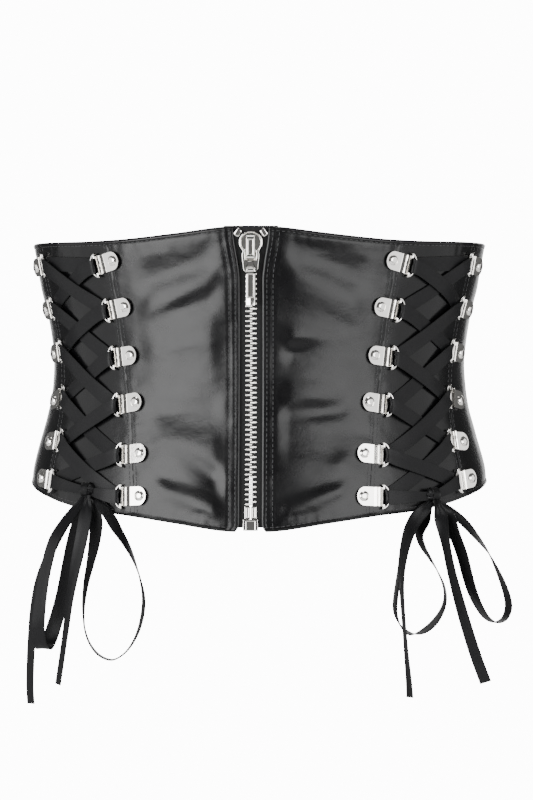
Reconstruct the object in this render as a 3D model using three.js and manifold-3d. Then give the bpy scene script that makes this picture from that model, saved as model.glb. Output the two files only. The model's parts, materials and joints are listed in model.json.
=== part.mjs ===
// Corset belt: a waist belt of five black leather panels that closes at the front with a metal zip.
// Two columns of D-ring fittings on each side carry a ribbon lacing that is tied in a bow at the bottom.
// Millimetres, +Z up. The origin is the centre of the waist, its narrowest section, and -Y is the front.
// Belt surface: an angle from the front centre, a height and a lift off the inner face give a point.

import * as THREE from 'three';
import Module from 'manifold-3d';
import { mergeVertices } from 'three/addons/utils/BufferGeometryUtils.js';

const wasm = await Module();
wasm.setup();

// Overall form
const WAIST_WIDTH = 253.4;
const WAIST_DEPTH_FRONT = 94;
const WAIST_DEPTH_BACK = 94;
const TOP_FRONT = 81.5;
const TOP_SIDE = 74;
const DROP_FRONT = 104;
const DROP_SIDE = 76;

// Leather, tape and ribbon
const LEATHER = 1.8;
const TAPE = 0.8;
const TAPE_WIDTH = 12.5;
const TAPE_SHORT = 3;
const RIBBON_WIDTH = 9;
const RIBBON = 0.8;
const GAP = 0.3;
const SEAT = 0.45;

// Zip
const ZIP_HALF_OPENING = 6.8;
const ZIP_FLARE = 4;
const ZIP_FLARE_TALL = 34;
const EDGE_ROUNDING = 5;
const TOOTH_PITCH = 3;
const TOOTH_TALL = 1.2;
const TOOTH_REACH = 0.8;
const TOOTH_TAIL = 3.6;
const TOOTH_THICK = 2.4;
const BEAD_INNER = 1.5;
const PIN_TALL = 7.6;
const BOX_WIDTH = 8.7;
const BOX_TALL = 6.7;
const BOX_THICK = 1.9;
const STOP_WIDTH = 3.8;
const STOP_TALL = 5;
const STOP_THICK = 1.6;
const SLIDER_WIDTH = 14;
const SLIDER_TALL = 18;
const SLIDER_PLATE = 1.6;
const SLIDER_BELOW_TOP = 12.2;
const BRIDGE_WIDTH = 4.8;
const BRIDGE_TALL = 14;
const BRIDGE_THICK = 1.2;
const LINK_TALL = 15;
const LINK_TOP_WIDTH = 10.5;
const LINK_FOOT_WIDTH = 8.4;
const LINK_THICK = 1.4;
const LINK_BAR = 1.6;
const LINK_HOLE_TALL = 7.8;
const TAB_TALL = 21.6;
const TAB_WIDTH = 5.2;
const TAB_THICK = 1.6;
const TAB_FOOT = 5;
const PULL_PIN = 1.2;

// Lacing fittings: a folded plate, a rivet and a D-ring whose straight bar lies in the fold
const PLATE_WIDTH = 11.4;
const PLATE_FLAT = 10.6;
const PLATE_SLOPE = 4.4;
const PLATE_THICK = 1.2;
const RIVET = 6.5;
const RIVET_TALL = 1.3;
const RING_WIRE = 1.2;
const RING_TALL = 15.6;
const RING_REACH = 6.8;
const RING_LIFT = 2.2;

// Bows
const KNOT_WIDTH = 10.5;
const KNOT_TALL = 8.4;
const KNOT_DEPTH = 7.2;
const KNOT_LIFT = 4.2;
const GATHERED = 0.36;
const GATHER_LENGTH = 16;

// Faces of the panels
const PANEL_ROWS = 10;
const FOLD_ROWS = 20;
const FRONT_COLUMNS = 8;
const SIDE_COLUMNS = 6;
const BACK_COLUMNS = 16;

const DEGREE = Math.PI / 180;
const LEATHER_IN = TAPE + GAP;
const LEATHER_OUT = LEATHER_IN + LEATHER;
const PLATE_IN = LEATHER_OUT + SEAT;
const RING_CENTRE = LEATHER_OUT + RING_LIFT;
const TAPE_INNER = TOOTH_TAIL + GAP;

// Half sizes of the belt at each height, as shares of its sizes at the waist.
// A height is a share of the side's rise above the waist, or below it of the side's drop.
const SECTIONS = [
  { height: -1.37, width: 1.126, front: 1.085, back: 1.16 },
  { height: -0.96, width: 1.107, front: 1.055, back: 1.125 },
  { height: -0.83, width: 1.096, front: 1.045, back: 1.11 },
  { height: -0.56, width: 1.052, front: 1.02, back: 1.06 },
  { height: -0.3, width: 1.013, front: 1.006, back: 1.02 },
  { height: -0.06, width: 1.0, front: 1.0, back: 1.0 },
  { height: 0.1, width: 1.003, front: 1.0, back: 1.003 },
  { height: 0.37, width: 1.027, front: 1.008, back: 1.03 },
  { height: 0.64, width: 1.065, front: 1.02, back: 1.065 },
  { height: 0.98, width: 1.1, front: 1.037, back: 1.11 },
  { height: 1.1, width: 1.107, front: 1.041, back: 1.12 },
];

// Rise and drop of the two edges round the belt: 1 is the height at the zip, 0 the height at the side.
const EDGES = [
  { turn: 0, top: 1, bottom: 1 },
  { turn: 7.2, top: 0.9, bottom: 0.97 },
  { turn: 18.5, top: 0.46, bottom: 0.82 },
  { turn: 32, top: 0.06, bottom: 0.66 },
  { turn: 44, top: -0.08, bottom: 0.56 },
  { turn: 56, top: -0.06, bottom: 0.41 },
  { turn: 65, top: -0.02, bottom: 0.28 },
  { turn: 76, top: 0, bottom: 0.14 },
  { turn: 90, top: 0, bottom: 0 },
  { turn: 180, top: 0, bottom: -0.06 },
];

// Turn of the two seams from the front centre. A level is a share of the local rise or drop.
const SEAMS = [
  { level: -1, front: 29.8, back: 63.4 },
  { level: -0.85, front: 30.1, back: 62.8 },
  { level: -0.62, front: 31.4, back: 63.0 },
  { level: -0.36, front: 34.0, back: 65.6 },
  { level: -0.1, front: 36.9, back: 68.2 },
  { level: 0.15, front: 37.9, back: 69.8 },
  { level: 0.45, front: 38.1, back: 70.8 },
  { level: 0.8, front: 38.6, back: 71.4 },
  { level: 1, front: 39.2, back: 71.8 },
];

// Centres of the D-rings, six rows from the top down.
const RING_ROWS = [
  { frontTurn: 43.3, frontLevel: 0.797, backTurn: 69.3, backLevel: 0.824 },
  { frontTurn: 41.6, frontLevel: 0.424, backTurn: 68.8, backLevel: 0.466 },
  { frontTurn: 41.2, frontLevel: 0.025, backTurn: 67.4, backLevel: 0.098 },
  { frontTurn: 38.6, frontLevel: -0.296, backTurn: 64.8, backLevel: -0.267 },
  { frontTurn: 34.8, frontLevel: -0.62, backTurn: 59.9, backLevel: -0.58 },
  { frontTurn: 33.8, frontLevel: -0.885, backTurn: 60.6, backLevel: -0.868 },
];

// Soft folds of the two front panels. Across runs from the zip to the seam and level from the waist to
// the edges; half length and half width are shares of the panel's width, depth is a share of the leather.
const FOLDS = [
  { side: -1, across: 0.62, level: 0.86, length: 0.5, width: 0.09, lean: 14, depth: 0.7 },
  { side: -1, across: 0.55, level: 0.62, length: 0.6, width: 0.1, lean: 12, depth: -0.55 },
  { side: -1, across: 0.5, level: 0.3, length: 0.55, width: 0.14, lean: 8, depth: 0.7 },
  { side: -1, across: 0.6, level: -0.2, length: 0.5, width: 0.1, lean: -4, depth: -0.55 },
  { side: -1, across: 0.42, level: -0.45, length: 0.45, width: 0.12, lean: 20, depth: 0.6 },
  { side: -1, across: 0.45, level: -0.84, length: 0.5, width: 0.08, lean: -10, depth: 0.55 },
  { side: 1, across: 0.5, level: 0.8, length: 0.45, width: 0.1, lean: -12, depth: 0.7 },
  { side: 1, across: 0.45, level: 0.52, length: 0.55, width: 0.1, lean: -16, depth: -0.5 },
  { side: 1, across: 0.6, level: 0.25, length: 0.5, width: 0.14, lean: -6, depth: 0.7 },
  { side: 1, across: 0.5, level: -0.2, length: 0.55, width: 0.09, lean: 4, depth: -0.55 },
  { side: 1, across: 0.62, level: -0.5, length: 0.4, width: 0.13, lean: -14, depth: 0.65 },
  { side: 1, across: 0.4, level: -0.84, length: 0.5, width: 0.08, lean: 12, depth: 0.55 },
];

// Outline of the slider's plate, as shares of its half width and half height.
const SLIDER_OUTLINE = [
  { across: 0.27, up: 1 },
  { across: 1, up: 0.45 },
  { across: 1, up: 0.02 },
  { across: 0.66, up: -0.36 },
  { across: 0.6, up: -0.72 },
  { across: 0.42, up: -1 },
];

// Routes of the ribbon from each knot: millimetres to the side, out to the front and down from the
// knot's centre. Turn is the way the ribbon's width points: 0 is square to the front, 90 edge on to it.
const BOWS = {
  left: {
    side: -1,
    turn: 43.8,
    level: -0.867,
    loops: {
      outer: [
        { side: -1.8, out: 1.0, down: 3.2, turn: 30 },
        { side: -5.4, out: 3.6, down: 9.8, turn: 32 },
        { side: -12.4, out: 6.6, down: 18.8, turn: 36 },
        { side: -19.0, out: 8.6, down: 29.2, turn: 40 },
        { side: -23.1, out: 9.6, down: 42.6, turn: 40 },
        { side: -26.3, out: 9.6, down: 57.7, turn: 38 },
        { side: -28.4, out: 8.6, down: 73.0, turn: 32 },
        { side: -29.4, out: 6.4, down: 85.4, turn: 24 },
        { side: -28.6, out: 2.4, down: 93.6, turn: 14 },
        { side: -26.6, out: -2.2, down: 96.6, turn: 6 },
        { side: -24.0, out: -6.0, down: 92.2, turn: -4 },
        { side: -21.2, out: -7.8, down: 83.8, turn: -18 },
        { side: -17.9, out: -8.6, down: 72.6, turn: -28 },
        { side: -15.0, out: -8.4, down: 60.2, turn: -34 },
        { side: -12.4, out: -7.4, down: 46.6, turn: -36 },
        { side: -9.4, out: -5.6, down: 32.4, turn: -36 },
        { side: -5.4, out: -2.8, down: 18.4, turn: -34 },
        { side: -2.4, out: -1.0, down: 9.0, turn: -30 },
        { side: -1.2, out: -0.9, down: 3.6, turn: -10 },
      ],
      inner: [
        { side: 0.8, out: 1.6, down: 4.0, turn: 20 },
        { side: 4.2, out: 5.4, down: 10.4, turn: 22 },
        { side: 6.4, out: 7.4, down: 19.4, turn: 28 },
        { side: 5.4, out: 8.0, down: 31.0, turn: 38 },
        { side: 3.0, out: 7.6, down: 43.2, turn: 55 },
        { side: -0.2, out: 6.6, down: 57.4, turn: 68 },
        { side: -1.8, out: 5.6, down: 71.6, turn: 78 },
        { side: -1.0, out: 4.8, down: 84.0, turn: 85 },
        { side: 2.2, out: 4.6, down: 93.4, turn: 88 },
        { side: 7.9, out: 4.6, down: 100.2, turn: 90 },
        { side: 15.4, out: 4.6, down: 103.0, turn: 90 },
        { side: 22.0, out: 4.6, down: 100.1, turn: 88 },
        { side: 27.7, out: 4.6, down: 93.5, turn: 82 },
        { side: 32.4, out: 4.8, down: 83.2, turn: 76 },
        { side: 34.9, out: 5.6, down: 71.7, turn: 74 },
        { side: 35.0, out: 6.6, down: 62.3, turn: 76 },
        { side: 33.1, out: 7.6, down: 52.8, turn: 82 },
        { side: 29.8, out: 8.4, down: 42.4, turn: 92 },
        { side: 25.2, out: 8.8, down: 32.7, turn: 108 },
        { side: 19.6, out: 9.6, down: 23.5, turn: 122 },
        { side: 14.4, out: 12.2, down: 14.6, turn: 132 },
        { side: 9.0, out: 7.4, down: 8.2, turn: 160 },
        { side: 4.0, out: -0.4, down: 3.6, turn: 205 },
      ],
    },
    tails: {
      outer: [
        { side: -1.6, out: -3.2, down: 3.4, turn: 36 },
        { side: -6.4, out: -4.4, down: 9.6, turn: 40 },
        { side: -14.6, out: -4.6, down: 21.6, turn: 46 },
        { side: -22.6, out: -5.4, down: 37.0, turn: 50 },
        { side: -30.0, out: -6.6, down: 55.4, turn: 52 },
        { side: -33.6, out: -7.4, down: 74.4, turn: 54 },
        { side: -35.0, out: -7.6, down: 92.0, turn: 56 },
        { side: -35.6, out: -7.6, down: 106.6, turn: 57 },
        { side: -35.8, out: -7.6, down: 120.4, turn: 58 },
        { side: -35.2, out: -7.6, down: 131.0, turn: 58 },
      ],
      inner: [
        { side: 0.6, out: 3.8, down: 3.0, turn: 28 },
        { side: 0.6, out: 10.0, down: 11.4, turn: 26 },
        { side: -1.2, out: 13.6, down: 24.6, turn: 30 },
        { side: -4.2, out: 14.8, down: 39.4, turn: 38 },
        { side: -7.0, out: 15.0, down: 52.6, turn: 48 },
        { side: -9.4, out: 14.4, down: 66.2, turn: 58 },
        { side: -11.2, out: 13.6, down: 80.2, turn: 64 },
        { side: -12.9, out: 13.0, down: 92.6, turn: 66 },
        { side: -14.6, out: 12.8, down: 105.0, turn: 66 },
        { side: -16.4, out: 12.8, down: 117.6, turn: 66 },
      ],
    },
  },
  right: {
    side: 1,
    turn: 48.6,
    level: -0.915,
    loops: {
      inner: [
        { side: -1.8, out: 1.0, down: 3.4, turn: -30 },
        { side: -8.0, out: 5.8, down: 9.6, turn: 10 },
        { side: -14.4, out: 9.4, down: 19.6, turn: 42 },
        { side: -18.4, out: 10.8, down: 32.8, turn: 64 },
        { side: -20.2, out: 10.8, down: 43.8, turn: 71 },
        { side: -22.0, out: 10.4, down: 53.6, turn: 74 },
        { side: -23.2, out: 9.4, down: 62.2, turn: 74 },
        { side: -23.5, out: 8.2, down: 69.6, turn: 76 },
        { side: -21.7, out: 7.0, down: 76.1, turn: 84 },
        { side: -18.1, out: 6.2, down: 81.3, turn: 98 },
        { side: -13.2, out: 6.0, down: 84.0, turn: 118 },
        { side: -7.4, out: 6.6, down: 82.8, turn: 130 },
        { side: -1.3, out: 7.4, down: 78.5, turn: 126 },
        { side: 3.5, out: 8.2, down: 72.3, turn: 114 },
        { side: 6.3, out: 8.8, down: 65.9, turn: 104 },
        { side: 7.0, out: 8.8, down: 59.8, turn: 98 },
        { side: 5.7, out: 8.4, down: 53.0, turn: 94 },
        { side: 2.0, out: 7.4, down: 44.8, turn: 88 },
        { side: -2.2, out: 6.2, down: 37.6, turn: 78 },
        { side: -6.5, out: 4.8, down: 30.4, turn: 68 },
        { side: -8.4, out: 3.6, down: 24.0, turn: 60 },
        { side: -6.8, out: 2.4, down: 17.0, turn: 30 },
        { side: -3.8, out: 0.4, down: 9.8, turn: -25 },
        { side: -1.4, out: -1.0, down: 3.6, turn: -38 },
      ],
      outer: [
        { side: 2.2, out: 0.6, down: 3.2, turn: -30 },
        { side: 7.8, out: 8.2, down: 11.0, turn: 8 },
        { side: 12.6, out: 11.8, down: 22.6, turn: 42 },
        { side: 17.2, out: 13.2, down: 35.2, turn: 44 },
        { side: 20.8, out: 13.2, down: 49.2, turn: 47 },
        { side: 23.8, out: 12.4, down: 58.8, turn: 51 },
        { side: 27.8, out: 11.4, down: 67.4, turn: 57 },
        { side: 32.4, out: 9.8, down: 73.9, turn: 63 },
        { side: 37.8, out: 8.0, down: 76.7, turn: 67 },
        { side: 43.0, out: 6.2, down: 74.4, turn: 66 },
        { side: 45.4, out: 5.0, down: 68.3, turn: 64 },
        { side: 44.8, out: 4.2, down: 61.6, turn: 65 },
        { side: 41.8, out: 3.6, down: 52.5, turn: 70 },
        { side: 37.3, out: 3.0, down: 42.2, turn: 80 },
        { side: 33.0, out: 2.4, down: 34.0, turn: 92 },
        { side: 26.2, out: 1.4, down: 24.8, turn: 112 },
        { side: 18.6, out: 0.2, down: 16.0, turn: 130 },
        { side: 9.0, out: -1.6, down: 8.0, turn: 140 },
        { side: 2.6, out: -2.0, down: 3.4, turn: 142 },
      ],
    },
    tails: {
      inner: [
        { side: -1.0, out: 3.0, down: 3.9, turn: -30 },
        { side: -6.8, out: 12.4, down: 9.6, turn: 6 },
        { side: -13.0, out: 18.4, down: 18.6, turn: 38 },
        { side: -17.0, out: 20.8, down: 29.6, turn: 50 },
        { side: -19.1, out: 21.4, down: 42.0, turn: 64 },
        { side: -19.4, out: 21.2, down: 54.2, turn: 74 },
        { side: -18.5, out: 20.8, down: 69.3, turn: 78 },
        { side: -17.3, out: 20.6, down: 83.3, turn: 78 },
        { side: -16.1, out: 20.6, down: 97.2, turn: 75 },
        { side: -14.8, out: 20.6, down: 111.1, turn: 70 },
        { side: -14.2, out: 20.6, down: 121.5, turn: 66 },
      ],
      outer: [
        { side: 2.0, out: 3.2, down: 3.0, turn: -30 },
        { side: 4.6, out: 12.6, down: 13.0, turn: 26 },
        { side: 7.2, out: 18.0, down: 27.0, turn: 56 },
        { side: 10.4, out: 19.8, down: 43.6, turn: 58 },
        { side: 15.2, out: 20.4, down: 62.4, turn: 50 },
        { side: 20.8, out: 20.8, down: 81.4, turn: 45 },
        { side: 26.2, out: 21.0, down: 97.8, turn: 43 },
        { side: 31.6, out: 21.2, down: 112.2, turn: 42 },
      ],
    },
  },
};

function smooth(share) {
  const clamped = Math.min(1, Math.max(0, share));
  return clamped * clamped * (3 - 2 * clamped);
}

function mix(from, to, share) {
  return from + (to - from) * share;
}

// Smooth value of one column of a table, read at a place in another column that rises row by row.
function read(table, key, at, column) {
  const last = table.length - 1;
  if (at <= table[0][key]) return table[0][column];
  if (at >= table[last][key]) return table[last][column];
  const row = table.findIndex((entry) => entry[key] > at) - 1;
  const slope = (index) => {
    const before = table[Math.max(0, index - 1)];
    const after = table[Math.min(last, index + 1)];
    return (after[column] - before[column]) / (after[key] - before[key]);
  };
  const here = table[row];
  const next = table[row + 1];
  const span = next[key] - here[key];
  const share = (at - here[key]) / span;
  const bend = share * (1 - share) * span;
  const straight = mix(here[column], next[column], smooth(share));
  return straight + bend * ((1 - share) * slope(row) - share * slope(row + 1));
}

// The same turn on either side of the belt, from 0 at the front to 180 at the back.
function mirrored(turn) {
  const positive = Math.abs(turn);
  return positive > 180 ? 360 - positive : positive;
}

function topEdge(turn) {
  return TOP_SIDE + (TOP_FRONT - TOP_SIDE) * read(EDGES, 'turn', mirrored(turn), 'top');
}

function bottomDrop(turn) {
  return DROP_SIDE + (DROP_FRONT - DROP_SIDE) * read(EDGES, 'turn', mirrored(turn), 'bottom');
}

function heightOf(turn, level) {
  return level > 0 ? level * topEdge(turn) : level * bottomDrop(turn);
}

// A point of the belt: turn in degrees from the front centre, positive to +X, and lift off the inner face.
function place(turn, height, lift) {
  const share = height / (height > 0 ? TOP_SIDE : DROP_SIDE);
  const halfWidth = (WAIST_WIDTH / 2) * read(SECTIONS, 'height', share, 'width');
  const angle = turn * DEGREE;
  const isFront = Math.cos(angle) > 0;
  const depth = isFront ? WAIST_DEPTH_FRONT : WAIST_DEPTH_BACK;
  const halfDepth = depth * read(SECTIONS, 'height', share, isFront ? 'front' : 'back');
  const normal = new THREE.Vector2(halfDepth * Math.sin(angle), -halfWidth * Math.cos(angle)).normalize();
  return new THREE.Vector3(
    halfWidth * Math.sin(angle) + lift * normal.x,
    -halfDepth * Math.cos(angle) + lift * normal.y,
    height,
  );
}

// Turn that lies a given distance along the belt from another turn.
function turnAfter(turn, height, distance) {
  const step = 0.5;
  const speed = place(turn - step, height, 0).distanceTo(place(turn + step, height, 0)) / (2 * step);
  return turn + distance / speed;
}

function outwards(turn, height) {
  const step = 0.5;
  const across = place(turn + step, height, 0).sub(place(turn - step, height, 0));
  const up = place(turn, height + step, 0).sub(place(turn, height - step, 0));
  return across.cross(up).normalize();
}

// A closed solid from rows of points round a section, with a fan over each end.
function skin(rings) {
  const positions = [];
  const triangles = [];
  const count = rings[0].length;
  rings.forEach((ring) => ring.forEach((point) => positions.push(point.x, point.y, point.z)));
  for (let row = 0; row + 1 < rings.length; row += 1) {
    for (let index = 0; index < count; index += 1) {
      const next = (index + 1) % count;
      const near = row * count;
      const far = near + count;
      triangles.push(near + index, near + next, far + next);
      triangles.push(near + index, far + next, far + index);
    }
  }
  const end = (rings.length - 1) * count;
  for (let index = 1; index + 1 < count; index += 1) {
    triangles.push(0, index + 1, index);
    triangles.push(end, end + index, end + index + 1);
  }
  return solidOf(positions, triangles);
}

// A manifold solid of a triangle list, turned right way out.
function solidOf(positions, triangles) {
  const build = (list) => new wasm.Manifold(new wasm.Mesh({
    numProp: 3,
    vertProperties: new Float32Array(positions),
    triVerts: new Uint32Array(list),
  }));
  const solid = build(triangles);
  if (solid.volume() > 0) return solid;
  const turned = [];
  for (let index = 0; index < triangles.length; index += 3) {
    turned.push(triangles[index], triangles[index + 2], triangles[index + 1]);
  }
  return build(turned);
}

// A manifold solid of a closed geometry, placed by a matrix.
function solidFrom(geometry, matrix = new THREE.Matrix4()) {
  const plain = geometry.clone();
  plain.deleteAttribute('normal');
  plain.deleteAttribute('uv');
  plain.clearGroups();
  const merged = mergeVertices(plain, 1e-4);
  merged.applyMatrix4(matrix);
  return solidOf(merged.attributes.position.array, Array.from(merged.index.array));
}

function meshOf(name, solid, material) {
  const result = solid.getMesh();
  const geometry = new THREE.BufferGeometry();
  geometry.setAttribute('position', new THREE.BufferAttribute(new Float32Array(result.vertProperties), 3));
  geometry.setIndex(new THREE.BufferAttribute(new Uint32Array(result.triVerts), 1));
  geometry.computeVertexNormals();
  const mesh = new THREE.Mesh(geometry, material);
  mesh.name = name;
  return mesh;
}

// A box between two corners of a local frame: across, lift off the belt and up.
function block(frame, across, lift, up) {
  const size = [across[1] - across[0], lift[1] - lift[0], up[1] - up[0]];
  const geometry = new THREE.BoxGeometry(...size);
  geometry.translate((across[0] + across[1]) / 2, -(lift[0] + lift[1]) / 2, (up[0] + up[1]) / 2);
  return solidFrom(geometry, frame);
}

// A flat outline of across and up values, as thick as the two lifts are apart.
function slab(frame, outline, lift) {
  const shape = new THREE.Shape(outline.map((point) => new THREE.Vector2(point.x, point.y)));
  const geometry = new THREE.ExtrudeGeometry(shape, { depth: lift[1] - lift[0], bevelEnabled: false });
  geometry.translate(0, 0, lift[0]);
  geometry.rotateX(Math.PI / 2);
  return solidFrom(geometry, frame);
}

// A round bar along the width of a local frame.
function roundBar(frame, radius, across, lift, up, sides) {
  const geometry = new THREE.CylinderGeometry(radius, radius, across[1] - across[0], sides);
  geometry.rotateZ(Math.PI / 2);
  geometry.translate((across[0] + across[1]) / 2, -lift, up);
  return solidFrom(geometry, frame);
}

// Materials
const finish = (color, roughness, metalness) => new THREE.MeshStandardMaterial({ color, roughness, metalness });
const leather = finish('#1c1c1c', 0.38, 0);
const tape = finish('#141414', 0.85, 0);
const satin = finish('#242424', 0.42, 0);
const nickel = finish('#d6d6d4', 0.2, 1);

const belt = new THREE.Group();

// Panels

function zipOpening(level) {
  const height = heightOf(0, level);
  const flare = smooth(1 - (TOP_FRONT - height) / ZIP_FLARE_TALL);
  const foot = Math.max(0, 1 - (height + DROP_FRONT) / EDGE_ROUNDING);
  return ZIP_HALF_OPENING + ZIP_FLARE * flare + EDGE_ROUNDING * 0.5 * foot * foot;
}

// Turn of a seam, straight from row to row so that the panels on both sides of it meet.
function seamTurn(level, column) {
  const row = Math.min(PANEL_ROWS - 1, Math.floor(((level + 1) / 2) * PANEL_ROWS));
  const lower = mix(-1, 1, row / PANEL_ROWS);
  const upper = mix(-1, 1, (row + 1) / PANEL_ROWS);
  const share = (level - lower) / (upper - lower);
  return mix(read(SEAMS, 'level', lower, column), read(SEAMS, 'level', upper, column), share);
}

// Lift of the leather's folds at a place on a front panel.
function foldLift(side, across, level, panelWidth) {
  const clearOfTape = smooth((across - 0.2) / 0.16);
  const clearOfPlates = smooth((0.84 - across) / 0.18);
  const clearOfEdges = smooth((1 - Math.abs(level)) / 0.12);
  let lift = 0;
  FOLDS.filter((fold) => fold.side === side).forEach((fold) => {
    const dx = (across - fold.across) * panelWidth;
    const dz = heightOf(20, level) - heightOf(20, fold.level);
    const lean = fold.lean * DEGREE;
    const along = (dx * Math.cos(lean) + dz * Math.sin(lean)) / (fold.length * panelWidth);
    const beside = (dz * Math.cos(lean) - dx * Math.sin(lean)) / (fold.width * panelWidth);
    lift += fold.depth * LEATHER * Math.exp(-along * along - beside * beside);
  });
  return lift * clearOfTape * clearOfPlates * clearOfEdges;
}

// A curved panel between two edge lines, each a function from level to turn.
function panel(startTurn, endTurn, columns, rows, liftAt) {
  const rings = [];
  for (let column = 0; column <= columns; column += 1) {
    const ring = [];
    const across = column / columns;
    const point = (row, lift) => {
      const level = mix(-1, 1, row / rows);
      const turn = mix(startTurn(level), endTurn(level), across);
      return place(turn, heightOf(turn, level), lift + liftAt(across, level));
    };
    for (let row = 0; row <= rows; row += 1) ring.push(point(row, LEATHER_OUT));
    for (let row = rows; row >= 0; row -= 1) ring.push(point(row, LEATHER_IN));
    rings.push(ring);
  }
  return shell(rings);
}

// A closed wall from columns of points, each up the outer face and down the inner one.
function shell(columns) {
  const positions = [];
  const triangles = [];
  const count = columns[0].length;
  const half = count / 2;
  columns.forEach((column) => column.forEach((point) => positions.push(point.x, point.y, point.z)));
  for (let column = 0; column + 1 < columns.length; column += 1) {
    for (let index = 0; index < count; index += 1) {
      const next = (index + 1) % count;
      const near = column * count;
      const far = near + count;
      triangles.push(near + index, near + next, far + next);
      triangles.push(near + index, far + next, far + index);
    }
  }
  [0, (columns.length - 1) * count].forEach((start, end) => {
    for (let row = 0; row + 1 < half; row += 1) {
      const corners = [start + row, start + row + 1, start + count - 2 - row, start + count - 1 - row];
      const order = end ? [0, 1, 2, 0, 2, 3] : [0, 2, 1, 0, 3, 2];
      triangles.push(...order.map((corner) => corners[corner]));
    }
  });
  return solidOf(positions, triangles);
}

function seamEdge(side, column, clearance) {
  return (level) => {
    const turn = seamTurn(level, column);
    return side * turnAfter(turn, heightOf(turn, level), clearance);
  };
}

const SIDES = [{ name: 'left', sign: -1 }, { name: 'right', sign: 1 }];

SIDES.forEach(({ name, sign }) => {
  const zipEdge = (level) => sign * turnAfter(0, heightOf(0, level), zipOpening(level));
  const frontSeam = seamEdge(sign, 'front', -GAP / 2);
  const width = place(0, 0, 0).distanceTo(place(seamTurn(0, 'front'), 0, 0));
  const folds = (across, level) => foldLift(sign, across, level, width);
  belt.add(meshOf(`front_panel_${name}`, panel(zipEdge, frontSeam, FRONT_COLUMNS, FOLD_ROWS, folds), leather));
  const sideStart = seamEdge(sign, 'front', GAP / 2);
  const sideEnd = seamEdge(sign, 'back', -GAP / 2);
  belt.add(meshOf(`side_panel_${name}`, panel(sideStart, sideEnd, SIDE_COLUMNS, PANEL_ROWS, () => 0), leather));
});

const backStart = seamEdge(1, 'back', GAP / 2);
const backEnd = (level) => 360 + seamEdge(-1, 'back', GAP / 2)(level);
belt.add(meshOf('back_panel', panel(backStart, backEnd, BACK_COLUMNS, PANEL_ROWS, () => 0), leather));

// Zip tapes and teeth

// Frame on the front centre line at a height: across, out of the belt and up.
function frontFrame(height) {
  const out = outwards(0, height);
  const across = new THREE.Vector3(1, 0, 0);
  const up = new THREE.Vector3().crossVectors(across, out).negate();
  const frame = new THREE.Matrix4().makeBasis(across, out.clone().negate(), up);
  return frame.setPosition(place(0, height, 0));
}

// A point beside the front centre line: across in millimetres, at a height and a lift.
function besideZip(across, height, lift) {
  return place(turnAfter(0, height, across), height, lift);
}

const tapeTop = TOP_FRONT;
const tapeFoot = -DROP_FRONT + TAPE_SHORT;
const sliderMiddle = TOP_FRONT - SLIDER_BELOW_TOP;
const boxTop = -DROP_FRONT + 1 + BOX_TALL;
const pinFoot = boxTop + GAP;
const teethTop = sliderMiddle + SLIDER_TALL * 0.12;
const teethFoot = pinFoot + PIN_TALL + GAP;

SIDES.forEach(({ name, sign }) => {
  const rings = [];
  for (let column = 0; column <= 2; column += 1) {
    const across = sign * (TAPE_INNER + (TAPE_WIDTH * column) / 2);
    const ring = [];
    for (let row = 0; row <= PANEL_ROWS; row += 1) {
      ring.push(besideZip(across, mix(tapeFoot, tapeTop, row / PANEL_ROWS), TAPE));
    }
    for (let row = PANEL_ROWS; row >= 0; row -= 1) {
      ring.push(besideZip(across, mix(tapeFoot, tapeTop, row / PANEL_ROWS), 0));
    }
    rings.push(ring);
  }
  belt.add(meshOf(`zip_tape_${name}`, shell(rings), tape));
});

// Triangles between two chains of points that both run upwards.
function stitch(first, second, heights, triangles) {
  let near = 0;
  let far = 0;
  while (near + 1 < first.length || far + 1 < second.length) {
    const nearNext = near + 1 < first.length ? heights[first[near + 1]] : Infinity;
    const farNext = far + 1 < second.length ? heights[second[far + 1]] : Infinity;
    if (nearNext <= farNext) {
      triangles.push(first[near], second[far], first[near + 1]);
      near += 1;
    } else {
      triangles.push(first[near], second[far], second[far + 1]);
      far += 1;
    }
  }
}

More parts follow.
